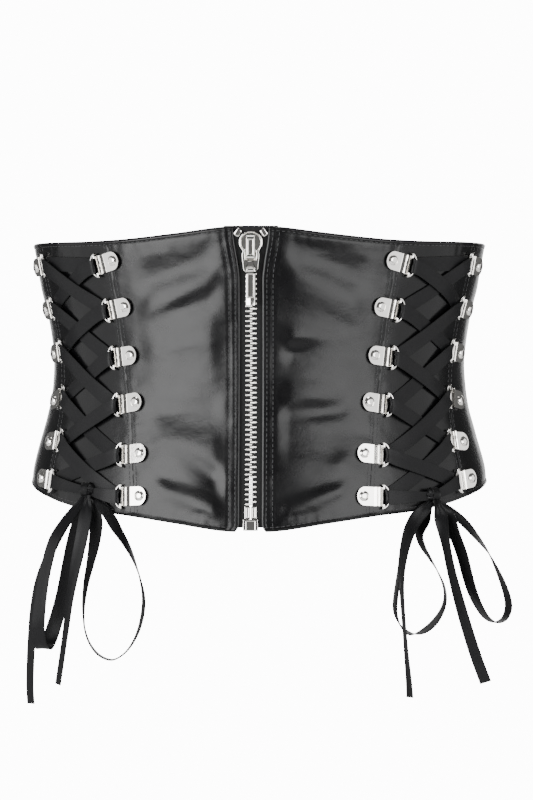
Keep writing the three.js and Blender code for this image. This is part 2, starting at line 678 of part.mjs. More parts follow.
// One row of teeth: flat metal teeth that stand out from a bead along the tape's edge.
function teethRow(sign, firstTooth) {
  const positions = [];
  const heights = [];
  const triangles = [];
  const liftFront = TAPE / 2 + TOOTH_THICK / 2;
  const liftBack = TAPE / 2 - TOOTH_THICK / 2;
  const pairAt = (across, height) => {
    [liftFront, liftBack].forEach((lift) => {
      const point = besideZip(sign * across, height, lift);
      positions.push(point.x, point.y, point.z);
      heights.push(height);
    });
    return heights.length - 2;
  };
  const roots = [];
  const teeth = [];
  roots.push(pairAt(BEAD_INNER, teethFoot));
  for (let foot = firstTooth; foot + TOOTH_TALL < teethTop; foot += TOOTH_PITCH) {
    const lower = pairAt(BEAD_INNER, foot);
    const upper = pairAt(BEAD_INNER, foot + TOOTH_TALL);
    teeth.push({ lower, upper, tipLower: pairAt(-TOOTH_REACH, foot), tipUpper: pairAt(-TOOTH_REACH, foot + TOOTH_TALL) });
    roots.push(lower, upper);
  }
  roots.push(pairAt(BEAD_INNER, teethTop));
  const tails = [];
  for (let step = 0; step <= PANEL_ROWS; step += 1) {
    tails.push(pairAt(TOOTH_TAIL, mix(teethFoot, teethTop, step / PANEL_ROWS)));
  }
  const quad = (a, b, c, d) => triangles.push(a, b, c, a, c, d);
  stitch(roots, tails, heights, triangles);
  stitch(tails.map((index) => index + 1), roots.map((index) => index + 1), heights, triangles);
  const isTooth = new Set(teeth.map((tooth) => tooth.lower));
  for (let index = 0; index + 1 < roots.length; index += 1) {
    if (!isTooth.has(roots[index])) {
      quad(roots[index], roots[index + 1], roots[index + 1] + 1, roots[index] + 1);
    }
  }
  for (let index = 0; index + 1 < tails.length; index += 1) {
    quad(tails[index] + 1, tails[index + 1] + 1, tails[index + 1], tails[index]);
  }
  quad(roots[0], roots[0] + 1, tails[0] + 1, tails[0]);
  const lastRoot = roots[roots.length - 1];
  const lastTail = tails[tails.length - 1];
  quad(lastTail, lastTail + 1, lastRoot + 1, lastRoot);
  teeth.forEach(({ lower, upper, tipLower, tipUpper }) => {
    quad(tipLower, lower, upper, tipUpper);
    quad(tipUpper + 1, upper + 1, lower + 1, tipLower + 1);
    quad(tipLower, tipUpper, tipUpper + 1, tipLower + 1);
    quad(tipLower, tipLower + 1, lower + 1, lower);
    quad(upper, upper + 1, tipUpper + 1, tipUpper);
  });
  return solidOf(positions, triangles);
}

belt.add(meshOf('zip_teeth_left', teethRow(-1, teethFoot + GAP), nickel));
belt.add(meshOf('zip_teeth_right', teethRow(1, teethFoot + GAP + TOOTH_PITCH / 2), nickel));

// Lower end of the zip: two pins and the box that holds them

const lowFrame = frontFrame(boxTop);
const pinLift = [TAPE / 2 - TOOTH_THICK / 2, TAPE / 2 + TOOTH_THICK / 2];
const pinUp = [GAP, GAP + PIN_TALL];
belt.add(meshOf('zip_pin_left', block(lowFrame, [-TOOTH_TAIL, -GAP / 2], pinLift, pinUp), nickel));
belt.add(meshOf('zip_pin_right', block(lowFrame, [GAP / 2, TOOTH_TAIL], pinLift, pinUp), nickel));
const boxFront = TAPE + GAP;
const boxFace = block(lowFrame, [-BOX_WIDTH / 2, BOX_WIDTH / 2], [boxFront, boxFront + BOX_THICK], [-BOX_TALL, 0]);
const boxCore = block(lowFrame, [-TOOTH_TAIL, TOOTH_TAIL], [pinLift[0], boxFront + GAP], [-BOX_TALL, 0]);
const recessSide = BOX_WIDTH / 2 - 1.3;
const recessLift = [boxFront + BOX_THICK - 0.5, boxFront + BOX_THICK + 1];
const boxRecess = block(lowFrame, [-recessSide, recessSide], recessLift, [-BOX_TALL + 2.2, -1.3]);
belt.add(meshOf('zip_box', boxFace.add(boxCore).subtract(boxRecess), nickel));

// Top stops, clamped on the tapes beside the slider

const stopAcross = SLIDER_WIDTH / 2 + 0.9;
const stopFrame = frontFrame(sliderMiddle + SLIDER_TALL / 2 - 0.9);
SIDES.forEach(({ name, sign }) => {
  const cut = 1.1;
  const corner = (x, y) => {
    const spin = -sign * 34 * DEGREE;
    const turned = new THREE.Vector2(x, y).rotateAround(new THREE.Vector2(), -spin);
    return turned.add(new THREE.Vector2(sign * stopAcross, 0));
  };
  const w = STOP_WIDTH / 2;
  const h = STOP_TALL / 2;
  const outline = [
    corner(-w, -h + cut), corner(-w + cut, -h), corner(w - cut, -h), corner(w, -h + cut),
    corner(w, h - cut), corner(w - cut, h), corner(-w + cut, h), corner(-w, h - cut),
  ];
  const stop = slab(stopFrame, outline, [TAPE + GAP, TAPE + GAP + STOP_THICK]);
  belt.add(meshOf(`zip_top_stop_${name}`, stop, nickel));
});

// Slider: two plates joined by a post above the teeth, and a bridge that carries the pull

const sliderFrame = frontFrame(sliderMiddle);
const plateBack = TAPE / 2 + TOOTH_THICK / 2 + GAP;
const plateFront = plateBack + SLIDER_PLATE;
const lowerPlate = [TAPE / 2 - TOOTH_THICK / 2 - GAP - SLIDER_PLATE, TAPE / 2 - TOOTH_THICK / 2 - GAP];

function sliderOutline(share) {
  const right = SLIDER_OUTLINE.map((point) => new THREE.Vector2(
    (point.across * share * SLIDER_WIDTH) / 2,
    (point.up * SLIDER_TALL) / 2,
  ));
  const left = right.map((point) => new THREE.Vector2(-point.x, point.y)).reverse();
  return [...right, ...left];
}

const pullUp = -1.4;
const pullLift = plateFront + LINK_BAR;
const bridgeSide = BRIDGE_WIDTH / 2;
const bridgeTop = BRIDGE_TALL / 2 - 0.6;
const bridgeFoot = -BRIDGE_TALL / 2 - 0.6;
const bridgeHoleHalf = 1.5;
const bridgeFront = pullLift + bridgeHoleHalf - 0.1 + BRIDGE_THICK;

function bridge() {
  const profile = new THREE.Shape([
    new THREE.Vector2(plateFront - GAP, bridgeFoot),
    new THREE.Vector2(bridgeFront - 1.2, bridgeFoot),
    new THREE.Vector2(bridgeFront, bridgeFoot + 2.2),
    new THREE.Vector2(bridgeFront, bridgeTop - 2.2),
    new THREE.Vector2(bridgeFront - 1.2, bridgeTop),
    new THREE.Vector2(plateFront - GAP, bridgeTop),
  ]);
  profile.holes.push(new THREE.Path([
    new THREE.Vector2(plateFront + 0.1, pullUp - bridgeHoleHalf),
    new THREE.Vector2(plateFront + 0.1, pullUp + bridgeHoleHalf),
    new THREE.Vector2(pullLift + 0.7, pullUp + bridgeHoleHalf),
    new THREE.Vector2(pullLift + bridgeHoleHalf - 0.1, pullUp + 0.7),
    new THREE.Vector2(pullLift + bridgeHoleHalf - 0.1, pullUp - 0.7),
    new THREE.Vector2(pullLift + 0.7, pullUp - bridgeHoleHalf),
  ]));
  const geometry = new THREE.ExtrudeGeometry(profile, { depth: BRIDGE_WIDTH, bevelEnabled: false });
  const turned = new THREE.Matrix4().makeBasis(
    new THREE.Vector3(0, -1, 0),
    new THREE.Vector3(0, 0, 1),
    new THREE.Vector3(-1, 0, 0),
  );
  geometry.applyMatrix4(turned.setPosition(bridgeSide, 0, 0));
  return solidFrom(geometry, sliderFrame);
}

const postUp = [SLIDER_TALL * 0.12 + GAP, SLIDER_TALL * 0.44];
const slider = slab(sliderFrame, sliderOutline(1), [plateBack, plateFront])
  .add(slab(sliderFrame, sliderOutline(0.94), lowerPlate))
  .add(block(sliderFrame, [-1.8, 1.8], [lowerPlate[1] - GAP, plateBack + GAP], postUp))
  .add(bridge());
belt.add(meshOf('zip_slider', slider, nickel));

// Pull link: a flat ring that hangs straight down from the bridge, with a pin between two arms at its foot

const pullPivot = new THREE.Vector3(0, -pullLift, pullUp).applyMatrix4(sliderFrame);
const pullFrame = new THREE.Matrix4().setPosition(pullPivot);
const linkLift = [-LINK_THICK / 2, LINK_THICK / 2];
const linkTop = LINK_BAR / 2;
const linkFoot = linkTop - LINK_TALL;
const linkHole = [linkTop - LINK_BAR - LINK_HOLE_TALL, linkTop - LINK_BAR];
const bossRadius = PULL_PIN / 2 + GAP + 0.6;
const pinUpPlace = linkFoot + bossRadius - 0.2;
const slotHalf = LINK_FOOT_WIDTH / 2 - 1.9;
const slotTop = pinUpPlace + bossRadius + GAP;

const linkOutline = [
  new THREE.Vector2(LINK_TOP_WIDTH / 2 - 1.4, linkTop),
  new THREE.Vector2(LINK_TOP_WIDTH / 2, linkTop - 1.8),
  new THREE.Vector2(LINK_FOOT_WIDTH / 2, linkFoot + 1),
  new THREE.Vector2(LINK_FOOT_WIDTH / 2 - 0.7, linkFoot),
];
const linkPlate = slab(
  pullFrame,
  [...linkOutline, ...linkOutline.map((point) => new THREE.Vector2(-point.x, point.y)).reverse()],
  linkLift,
);
const linkHoleHalf = bridgeSide + GAP * 2;
const linkWindow = slab(pullFrame, [
  new THREE.Vector2(linkHoleHalf, linkHole[1]),
  new THREE.Vector2(linkHoleHalf, linkHole[0] + 1.8),
  new THREE.Vector2(linkHoleHalf - 1.8, linkHole[0]),
  new THREE.Vector2(-linkHoleHalf + 1.8, linkHole[0]),
  new THREE.Vector2(-linkHoleHalf, linkHole[0] + 1.8),
  new THREE.Vector2(-linkHoleHalf, linkHole[1]),
], [linkLift[0] - 1, linkLift[1] + 1]);
const linkSlot = block(pullFrame, [-slotHalf, slotHalf], [linkLift[0] - 1, linkLift[1] + 1], [linkFoot - 1, slotTop]);
const linkPin = roundBar(pullFrame, PULL_PIN / 2, [-slotHalf - 0.4, slotHalf + 0.4], 0, pinUpPlace, 8);
const link = linkPlate.subtract(linkWindow).subtract(linkSlot).add(linkPin);
belt.add(meshOf('pull_link', link, nickel));

// Pull tab: a slim plate with a rim, hung on the link's pin by its eye

const tabFrame = pullFrame.clone().multiply(new THREE.Matrix4().makeTranslation(0, 0, pinUpPlace));
const tabLift = [-TAB_THICK / 2, TAB_THICK / 2];
const tabTop = -bossRadius - GAP - 0.2;
const tabOutline = [
  new THREE.Vector2(TAB_WIDTH / 2 - 0.9, tabTop),
  new THREE.Vector2(TAB_WIDTH / 2, tabTop - 1.2),
  new THREE.Vector2(TAB_WIDTH / 2, -TAB_TALL + 0.6),
  new THREE.Vector2(TAB_WIDTH / 2 - 0.6, -TAB_TALL),
];
const tabPlate = slab(
  tabFrame,
  [...tabOutline, ...tabOutline.map((point) => new THREE.Vector2(-point.x, point.y)).reverse()],
  tabLift,
);
const eyeHalf = slotHalf - GAP;
const eye = roundBar(tabFrame, bossRadius, [-eyeHalf, eyeHalf], 0, 0, 12);
const neck = block(tabFrame, [-eyeHalf + 0.2, eyeHalf - 0.2], [-0.6, 0.6], [tabTop - 0.6, -PULL_PIN]);
const eyeHole = roundBar(tabFrame, PULL_PIN / 2 + GAP, [-eyeHalf - 1, eyeHalf + 1], 0, 0, 12);
const recessHalf = TAB_WIDTH / 2 - 0.8;
const tabRecess = block(tabFrame, [-recessHalf, recessHalf], [tabLift[1] - 0.4, tabLift[1] + 1], [-TAB_TALL + TAB_FOOT, tabTop - 1.2]);
belt.add(meshOf('pull_tab', eye.add(neck).add(tabPlate).subtract(eyeHole).subtract(tabRecess), nickel));

// Lacing fittings

// Turn and height of a D-ring's centre.
function ringPlace(row, column) {
  const turn = RING_ROWS[row][`${column}Turn`];
  return { turn, height: heightOf(turn, RING_ROWS[row][`${column}Level`]) };
}

// Frame of a fitting: towards its ring, out of the belt and up along its column of rings.
function fittingFrame(sign, column, row) {
  const last = RING_ROWS.length - 1;
  const above = ringPlace(Math.max(0, row - 1), column);
  const below = ringPlace(Math.min(last, row + 1), column);
  const { turn, height } = ringPlace(row, column);
  const out = outwards(sign * turn, height);
  const lean = place(sign * above.turn, above.height, 0).sub(place(sign * below.turn, below.height, 0));
  const up = lean.addScaledVector(out, -lean.dot(out)).normalize();
  const towards = new THREE.Vector3().crossVectors(up, out);
  if (towards.x * sign * (column === 'front' ? 1 : -1) < 0) towards.negate();
  return { origin: place(sign * turn, height, 0), towards, out, up };
}

function inFrame(frame, reach, lift, up) {
  return frame.origin.clone()
    .addScaledVector(frame.towards, reach)
    .addScaledVector(frame.out, lift)
    .addScaledVector(frame.up, up);
}

// Reaches are measured from the middle of the ring, so its straight bar lies at half its depth behind.
const barReach = -(RING_REACH - RING_WIRE) / 2;
const slopeReach = barReach - PLATE_SLOPE;
const tipReach = slopeReach - PLATE_FLAT;
const ringHalf = (RING_TALL - RING_WIRE) / 2;
const arcReach = RING_REACH - RING_WIRE;

// Sections of the folded plate: reach, half width and the lifts of its two faces.
const PLATE_SECTIONS = [
  { reach: tipReach, half: 0.32, rise: 0 },
  { reach: tipReach + PLATE_FLAT * 0.17, half: 0.75, rise: 0 },
  { reach: tipReach + PLATE_FLAT * 0.46, half: 1, rise: 0 },
  { reach: slopeReach, half: 1, rise: 0 },
  { reach: barReach, half: 0.97, rise: 1 },
  { reach: barReach + RING_WIRE, half: 0.95, rise: 0.7 },
];

function foldedPlate(frame) {
  const barrelTop = RING_CENTRE + RING_WIRE / 2 + PLATE_THICK / 2;
  return skin(PLATE_SECTIONS.map((section) => {
    const half = (section.half * PLATE_WIDTH) / 2;
    const top = mix(PLATE_IN + PLATE_THICK, barrelTop, section.rise);
    return [
      inFrame(frame, section.reach, PLATE_IN, -half),
      inFrame(frame, section.reach, top, -half),
      inFrame(frame, section.reach, top, half),
      inFrame(frame, section.reach, PLATE_IN, half),
    ];
  }));
}

function rivet(frame) {
  const centre = tipReach + RIVET / 2 + 1.4;
  const foot = PLATE_IN + PLATE_THICK / 2;
  const levels = [
    { lift: foot, radius: RIVET / 2 },
    { lift: PLATE_IN + PLATE_THICK + RIVET_TALL, radius: RIVET * 0.3 },
  ];
  const sides = 6;
  return skin(levels.map((level) => Array.from({ length: sides }, (unused, index) => {
    const angle = (index / sides) * 2 * Math.PI;
    return inFrame(frame, centre + level.radius * Math.cos(angle), level.lift, level.radius * Math.sin(angle));
  })));
}

// The D-ring's wire: a straight bar in the plate's fold and an arc towards the lacing.
function ringPath() {
  const points = [{ reach: barReach, up: -PLATE_WIDTH / 2 + 0.4 }];
  const steps = 5;
  for (let step = 0; step <= steps; step += 1) {
    const angle = mix(-75, 75, step / steps) * DEGREE;
    points.push({
      reach: barReach + arcReach * (0.14 + 0.86 * Math.cos(angle)),
      up: ringHalf * Math.sin(angle),
    });
  }
  points.push({ reach: barReach, up: PLATE_WIDTH / 2 - 0.4 });
  return points;
}

function ring(frame) {
  const path = ringPath();
  const count = path.length;
  const sides = 4;
  const positions = [];
  const triangles = [];
  path.forEach((point, index) => {
    const before = path[(index + count - 1) % count];
    const after = path[(index + 1) % count];
    const along = new THREE.Vector2(after.reach - before.reach, after.up - before.up).normalize();
    for (let side = 0; side < sides; side += 1) {
      const angle = ((side + 0.5) / sides) * 2 * Math.PI;
      const beside = (RING_WIRE / 2) * 1.12 * Math.cos(angle);
      const lift = RING_CENTRE + (RING_WIRE / 2) * 1.12 * Math.sin(angle);
      const spot = inFrame(frame, point.reach + along.y * beside, lift, point.up - along.x * beside);
      positions.push(spot.x, spot.y, spot.z);
    }
  });
  for (let index = 0; index < count; index += 1) {
    const near = index * sides;
    const far = ((index + 1) % count) * sides;
    for (let side = 0; side < sides; side += 1) {
      const next = (side + 1) % sides;
      triangles.push(near + side, near + next, far + next);
      triangles.push(near + side, far + next, far + side);
    }
  }
  return solidOf(positions, triangles);
}

SIDES.forEach(({ name, sign }) => {
  ['front', 'back'].forEach((column) => {
    RING_ROWS.forEach((unused, row) => {
      const frame = fittingFrame(sign, column, row);
      const fitting = foldedPlate(frame).add(rivet(frame)).add(ring(frame));
      belt.add(meshOf(`lacing_ring_${name}_${column}_${row + 1}`, fitting, nickel));
    });
  });
});

// Ribbon

// A flat ribbon through stations: a centre, the way of its width and its half width.
function ribbonSolid(stations) {
  const count = stations.length;
  return skin(stations.map((station, index) => {
    const before = stations[Math.max(0, index - 1)].centre;
    const after = stations[Math.min(count - 1, index + 1)].centre;
    const thick = after.clone().sub(before).cross(station.wide).setLength(RIBBON / 2);
    const wide = station.wide.clone().multiplyScalar(station.half);
    return [
      station.centre.clone().add(wide).add(thick),
      station.centre.clone().sub(wide).add(thick),
      station.centre.clone().sub(wide).sub(thick),
      station.centre.clone().add(wide).sub(thick),
    ];
  }));
}

const underLift = LEATHER_OUT + SEAT + RIBBON / 2;
const overLift = 2 * RING_CENTRE - underLift;
const wrapRadius = (overLift - underLift) / 2;
const wrapReach = barReach + arcReach * (0.14 + 0.86 * Math.sqrt(1 - (RIBBON_WIDTH / 2 / ringHalf) ** 2));

// Stations of the ribbon round a ring's arc, from the strand under it to the strand over it.
function wrap(frame) {
  return [-62, 0, 62].map((angle) => {
    const inwards = wrapRadius * Math.cos(angle * DEGREE);
    const lift = RING_CENTRE + wrapRadius * Math.sin(angle * DEGREE);
    return {
      centre: inFrame(frame, wrapReach - inwards, lift, 0),
      wide: frame.up.clone(),
      half: RIBBON_WIDTH / 2,
    };
  });
}

// Where the middle of a ring's wrap lies, as a turn and a height.
function wrapPlace(sign, column, row) {
  const { turn, height } = ringPlace(row, column);
  const onward = column === 'front' ? wrapReach : -wrapReach;
  return { turn: sign * turnAfter(turn, height, onward), height };
}

// Stations of a strand between two places of the belt, with a lift at its start, middle and end.
function strand(from, to, lifts, shares, halves = [1, 1]) {
  const at = (share) => {
    const turn = mix(from.turn, to.turn, share);
    const height = mix(from.height, to.height, share);
    const lift = share < 0.5
      ? mix(lifts[0], lifts[1], smooth(share * 2))
      : mix(lifts[1], lifts[2], smooth(share * 2 - 1));
    return { point: place(turn, height, lift), out: outwards(turn, height) };
  };
  return shares.map((share) => {
    const { point, out } = at(share);
    const along = at(Math.min(1, share + 0.02)).point.sub(at(Math.max(0, share - 0.02)).point).normalize();
    return {
      centre: point,
      wide: out.clone().cross(along).normalize(),
      half: (RIBBON_WIDTH / 2) * mix(halves[0], halves[1], share),
    };
  });
}

// Order in which one ribbon meets the rings of a side, from the knot up one way and down the other.
function lacingOrder(crossesOver) {
  const last = RING_ROWS.length - 1;
  const columns = crossesOver === 'back' ? ['back', 'front'] : ['front', 'back'];
  const climb = [];
  for (let row = last; row >= 0; row -= 1) climb.push({ row, column: columns[row % 2], over: true });
  const fall = [];
  for (let row = 0; row <= last; row += 1) fall.push({ row, column: columns[(row + 1) % 2], over: false });
  return [...climb, ...fall];
}

// The centre of a bow's knot and the frame that it stands in.
function knotPlace(bow) {
  const height = heightOf(bow.turn, bow.level);
  const turn = bow.side * bow.turn;
  return { turn, height, centre: place(turn, height, LEATHER_OUT + KNOT_LIFT) };
}

function knotSolid(bow, grow) {
  const { turn, height, centre } = knotPlace(bow);
  const out = outwards(turn, height);
  const across = new THREE.Vector3(0, 0, 1).cross(out).negate().normalize();
  const up = new THREE.Vector3().crossVectors(across, out).normalize();
  const geometry = new THREE.SphereGeometry(1, 8, 6);
  geometry.scale(KNOT_WIDTH / 2 + grow, KNOT_DEPTH / 2 + grow, KNOT_TALL / 2 + grow);
  const matrix = new THREE.Matrix4().makeBasis(across, out, up).setPosition(centre);
  return solidFrom(geometry, matrix);
}

function alignWidths(stations) {
  stations.forEach((station, index) => {
    if (index > 0 && station.wide.dot(stations[index - 1].wide) < 0) station.wide.negate();
  });
  return stations;
}

function lacing(name, sign, crossesOver) {
  const bow = BOWS[name];
  const order = lacingOrder(crossesOver);
  const knot = knotPlace(bow);
  const knotSpot = { turn: knot.turn, height: knot.height };
  const knotLift = LEATHER_OUT + KNOT_LIFT;
  const first = wrapPlace(sign, order[0].column, order[0].row);
  const stations = strand(knotSpot, first, [knotLift, knotLift, overLift], [0.06, 0.3, 0.6, 0.86], [0.5, 1]);
  order.forEach((stop, index) => {
    const turned = wrap(fittingFrame(sign, stop.column, stop.row));
    stations.push(...(stop.over ? turned.reverse() : turned));
    const next = order[index + 1];
    if (!next) return;
    const from = wrapPlace(sign, stop.column, stop.row);
    const to = wrapPlace(sign, next.column, next.row);
    const crossing = underLift + RIBBON + GAP + 0.5;
    let lifts = [underLift, underLift, underLift];
    if (stop.over && next.over) lifts = [underLift, crossing, overLift];
    if (!stop.over && !next.over) lifts = [overLift, underLift, underLift];
    stations.push(...strand(from, to, lifts, [0.12, 0.37, 0.63, 0.88]));
  });
  const final = order[order.length - 1];
  const last = wrapPlace(sign, final.column, final.row);
  stations.push(...strand(last, knotSpot, [overLift, knotLift, knotLift], [0.14, 0.4, 0.7, 0.94], [1, 0.5]));
  return ribbonSolid(alignWidths(stations)).subtract(knotSolid(bow, GAP));
}

belt.add(meshOf('lacing_ribbon_left', lacing('left', -1, 'back'), satin));
belt.add(meshOf('lacing_ribbon_right', lacing('right', 1, 'front'), satin));

// A free end of the ribbon along its route; it is gathered narrow where it leaves the knot.
function bowRibbon(bow, route, backToKnot) {
  const { centre } = knotPlace(bow);
  const curve = new THREE.CatmullRomCurve3(route.map((point) => new THREE.Vector3(
    centre.x + point.side,
    centre.y - point.out,
    centre.z - point.down,
  )), false, 'centripetal');
  const turns = new THREE.CatmullRomCurve3(route.map((point) => new THREE.Vector3(point.turn, 0, 0)));
  const length = curve.getLength();
  const count = Math.round(length / (RIBBON_WIDTH * 0.9));
  const stations = Array.from({ length: count + 1 }, (unused, index) => {
    const share = curve.getUtoTmapping(index / count);
    const done = (index / count) * length;
    const nearest = backToKnot ? Math.min(done, length - done) : done;
    const turn = turns.getPoint(share).x * DEGREE;
    const along = curve.getTangent(share);
    const wide = new THREE.Vector3(Math.cos(turn), -Math.sin(turn), 0);
    return {
      centre: curve.getPoint(share),
      wide: wide.addScaledVector(along, -wide.dot(along)).normalize(),
      half: (RIBBON_WIDTH / 2) * mix(GATHERED, 1, smooth(nearest / GATHER_LENGTH)),
    };
  });
  return ribbonSolid(stations).subtract(knotSolid(bow, GAP));
}

Object.entries(BOWS).forEach(([name, bow]) => {
  belt.add(meshOf(`${name}_bow_knot`, knotSolid(bow, 0), satin));
  Object.entries(bow.loops).forEach(([end, route]) => {
    belt.add(meshOf(`${name}_bow_loop_${end}`, bowRibbon(bow, route, true), satin));
  });
  Object.entries(bow.tails).forEach(([end, route]) => {
    belt.add(meshOf(`${name}_bow_tail_${end}`, bowRibbon(bow, route, false), satin));
  });
});

export default belt;
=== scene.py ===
# %% [markdown]
# Corset belt: a waist belt of black coated leather. A metal zip closes its front, and on each side a satin
# ribbon runs through two columns of D-rings and is tied in a bow at the lower edge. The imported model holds
# every piece at its real place. This notebook dresses each one: it reads the same few sizes and tables,
# makes the fine shape over the plain solid, and gives it the finish of the real material.

# %% The frame
import json
import math
from collections import namedtuple

import bmesh
import bpy
import numpy as np
from mathutils import Matrix, Vector

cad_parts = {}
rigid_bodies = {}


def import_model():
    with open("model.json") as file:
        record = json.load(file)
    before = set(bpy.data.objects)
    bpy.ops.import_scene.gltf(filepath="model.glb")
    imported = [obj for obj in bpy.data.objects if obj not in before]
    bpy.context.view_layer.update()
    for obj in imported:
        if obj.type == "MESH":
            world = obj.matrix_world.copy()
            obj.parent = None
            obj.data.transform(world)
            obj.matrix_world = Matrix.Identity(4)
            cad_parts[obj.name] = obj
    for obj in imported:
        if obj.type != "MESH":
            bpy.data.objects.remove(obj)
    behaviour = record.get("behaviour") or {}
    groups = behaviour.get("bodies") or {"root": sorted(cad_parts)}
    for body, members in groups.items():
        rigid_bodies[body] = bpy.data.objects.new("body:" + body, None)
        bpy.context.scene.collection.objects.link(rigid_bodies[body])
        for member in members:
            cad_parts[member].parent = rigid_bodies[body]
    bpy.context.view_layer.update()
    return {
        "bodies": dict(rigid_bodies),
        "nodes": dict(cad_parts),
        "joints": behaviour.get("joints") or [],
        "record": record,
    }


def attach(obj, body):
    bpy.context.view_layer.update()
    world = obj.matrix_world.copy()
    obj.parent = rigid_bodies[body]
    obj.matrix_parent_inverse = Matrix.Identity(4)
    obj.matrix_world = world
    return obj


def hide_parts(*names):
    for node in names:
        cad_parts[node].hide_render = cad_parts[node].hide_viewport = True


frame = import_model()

MM = 0.001
print("nodes in the frame:", len(frame["nodes"]))

# %% [markdown]
# The belt's surface is one smooth form. Its half sizes are read from a short table of sections, each at a
# share of the rise above the waist or of the drop below it. A second table gives the two edges all round,
# and a third the seams between the panels. Reading a table smoothly keeps every piece on the same surface.

# %% Driving sizes and tables
WAIST_HALF_WIDTH = 126.7
WAIST_HALF_DEPTH = 94.0
TOP_FRONT = 81.5
TOP_SIDE = 74.0
DROP_FRONT = 104.0
DROP_SIDE = 76.0
TAPE = 0.8
GAP = 0.3
LEATHER = 1.8
LEATHER_IN = TAPE + GAP
LEATHER_OUT = LEATHER_IN + LEATHER
SEAT = 0.45
RIBBON_WIDTH = 9.0
RIBBON = 0.8

Section = namedtuple("Section", "height width front back")
SECTIONS = [
    Section(-1.37, 1.126, 1.085, 1.16), Section(-0.96, 1.107, 1.055, 1.125),
    Section(-0.83, 1.096, 1.045, 1.11), Section(-0.56, 1.052, 1.02, 1.06),
    Section(-0.3, 1.013, 1.006, 1.02), Section(-0.06, 1.0, 1.0, 1.0),
    Section(0.1, 1.003, 1.0, 1.003), Section(0.37, 1.027, 1.008, 1.03),
    Section(0.64, 1.065, 1.02, 1.065), Section(0.98, 1.1, 1.037, 1.11),
    Section(1.1, 1.107, 1.041, 1.12),
]
Edge = namedtuple("Edge", "turn top bottom")
EDGES = [
    Edge(0, 1, 1), Edge(7.2, 0.9, 0.97), Edge(18.5, 0.46, 0.82), Edge(32, 0.06, 0.66),
    Edge(44, -0.08, 0.56), Edge(56, -0.06, 0.41), Edge(65, -0.02, 0.28), Edge(76, 0, 0.14),
    Edge(90, 0, 0), Edge(180, 0, -0.06),
]
Seam = namedtuple("Seam", "level front back")
SEAMS = [
    Seam(-1, 29.8, 63.4), Seam(-0.85, 30.1, 62.8), Seam(-0.62, 31.4, 63.0), Seam(-0.36, 34.0, 65.6),
    Seam(-0.1, 36.9, 68.2), Seam(0.15, 37.9, 69.8), Seam(0.45, 38.1, 70.8), Seam(0.8, 38.6, 71.4),
    Seam(1, 39.2, 71.8),
]
RingRow = namedtuple("RingRow", "front_turn front_level back_turn back_level")
RING_ROWS = [
    RingRow(43.3, 0.797, 69.3, 0.824), RingRow(41.6, 0.424, 68.8, 0.466),
    RingRow(41.2, 0.025, 67.4, 0.098), RingRow(38.6, -0.296, 64.8, -0.267),
    RingRow(34.8, -0.62, 59.9, -0.58), RingRow(33.8, -0.885, 60.6, -0.868),
]


# %% Reading a table smoothly
def smooth(share):
    share = np.clip(share, 0, 1)
    return share * share * (3 - 2 * share)


def mix(start, end, share):
    return start + (end - start) * share


def read(table, key, column, at):
    keys = np.array([getattr(row, key) for row in table], float)
    values = np.array([getattr(row, column) for row in table], float)
    return read_values(keys, values, at)


def read_values(keys, values, at):
    at = np.clip(np.asarray(at, float), keys[0], keys[-1])
    last = len(keys) - 1
    before = np.maximum(np.arange(last + 1) - 1, 0)
    after = np.minimum(np.arange(last + 1) + 1, last)
    slopes = (values[after] - values[before]) / (keys[after] - keys[before])
    row = np.clip(np.searchsorted(keys, at, side="right") - 1, 0, last - 1)
    span = keys[row + 1] - keys[row]
    share = (at - keys[row]) / span
    bend = share * (1 - share) * span
    curved = bend * ((1 - share) * slopes[row] - share * slopes[row + 1])
    return mix(values[row], values[row + 1], smooth(share)) + curved


girth = math.pi * math.hypot(WAIST_HALF_WIDTH, WAIST_HALF_DEPTH) * 2 ** 0.5
print("waist girth inside about", round(girth), "mm")


# %% [markdown]
# Three functions place anything on the belt. `place` takes a turn in degrees from the front centre, a
# height and a lift off the inner face, and gives a point in metres. `outwards` is the surface's normal
# there, and `turn_after` walks a distance round the belt, so that widths stay true millimetres.

# %% Places on the belt
PROBE = 0.5


def unit(vectors):
    return vectors / np.linalg.norm(vectors, axis=-1, keepdims=True)


def mirrored(turn):
    turn = np.abs(np.asarray(turn, float))
    return np.where(turn > 180, 360 - turn, turn)


def top_edge(turn):
    return TOP_SIDE + (TOP_FRONT - TOP_SIDE) * read(EDGES, "turn", "top", mirrored(turn))


def bottom_drop(turn):
    return DROP_SIDE + (DROP_FRONT - DROP_SIDE) * read(EDGES, "turn", "bottom", mirrored(turn))


def height_of(turn, level):
    return np.where(np.asarray(level) > 0, level * top_edge(turn), level * bottom_drop(turn))


def place(turn, height, lift):
    """Points of the belt in metres, as rows of x, y and z."""
    turn, height, lift = np.broadcast_arrays(*(np.asarray(v, float) for v in (turn, height, lift)))
    share = height / np.where(height > 0, TOP_SIDE, DROP_SIDE)
    half_width = WAIST_HALF_WIDTH * read(SECTIONS, "height", "width", share)
    angle = np.radians(turn)
    front = read(SECTIONS, "height", "front", share)
    back = read(SECTIONS, "height", "back", share)
    half_depth = WAIST_HALF_DEPTH * np.where(np.cos(angle) > 0, front, back)
    normal = unit(np.stack([half_depth * np.sin(angle), -half_width * np.cos(angle)], axis=-1))
    x = half_width * np.sin(angle) + lift * normal[..., 0]
    y = -half_depth * np.cos(angle) + lift * normal[..., 1]
    return np.stack([x, y, height], axis=-1) * MM


def turn_after(turn, height, distance):
    ahead = place(np.asarray(turn) + PROBE, height, 0)
    behind = place(np.asarray(turn) - PROBE, height, 0)
    speed = np.linalg.norm(ahead - behind, axis=-1) / MM / (2 * PROBE)
    return turn + distance / speed


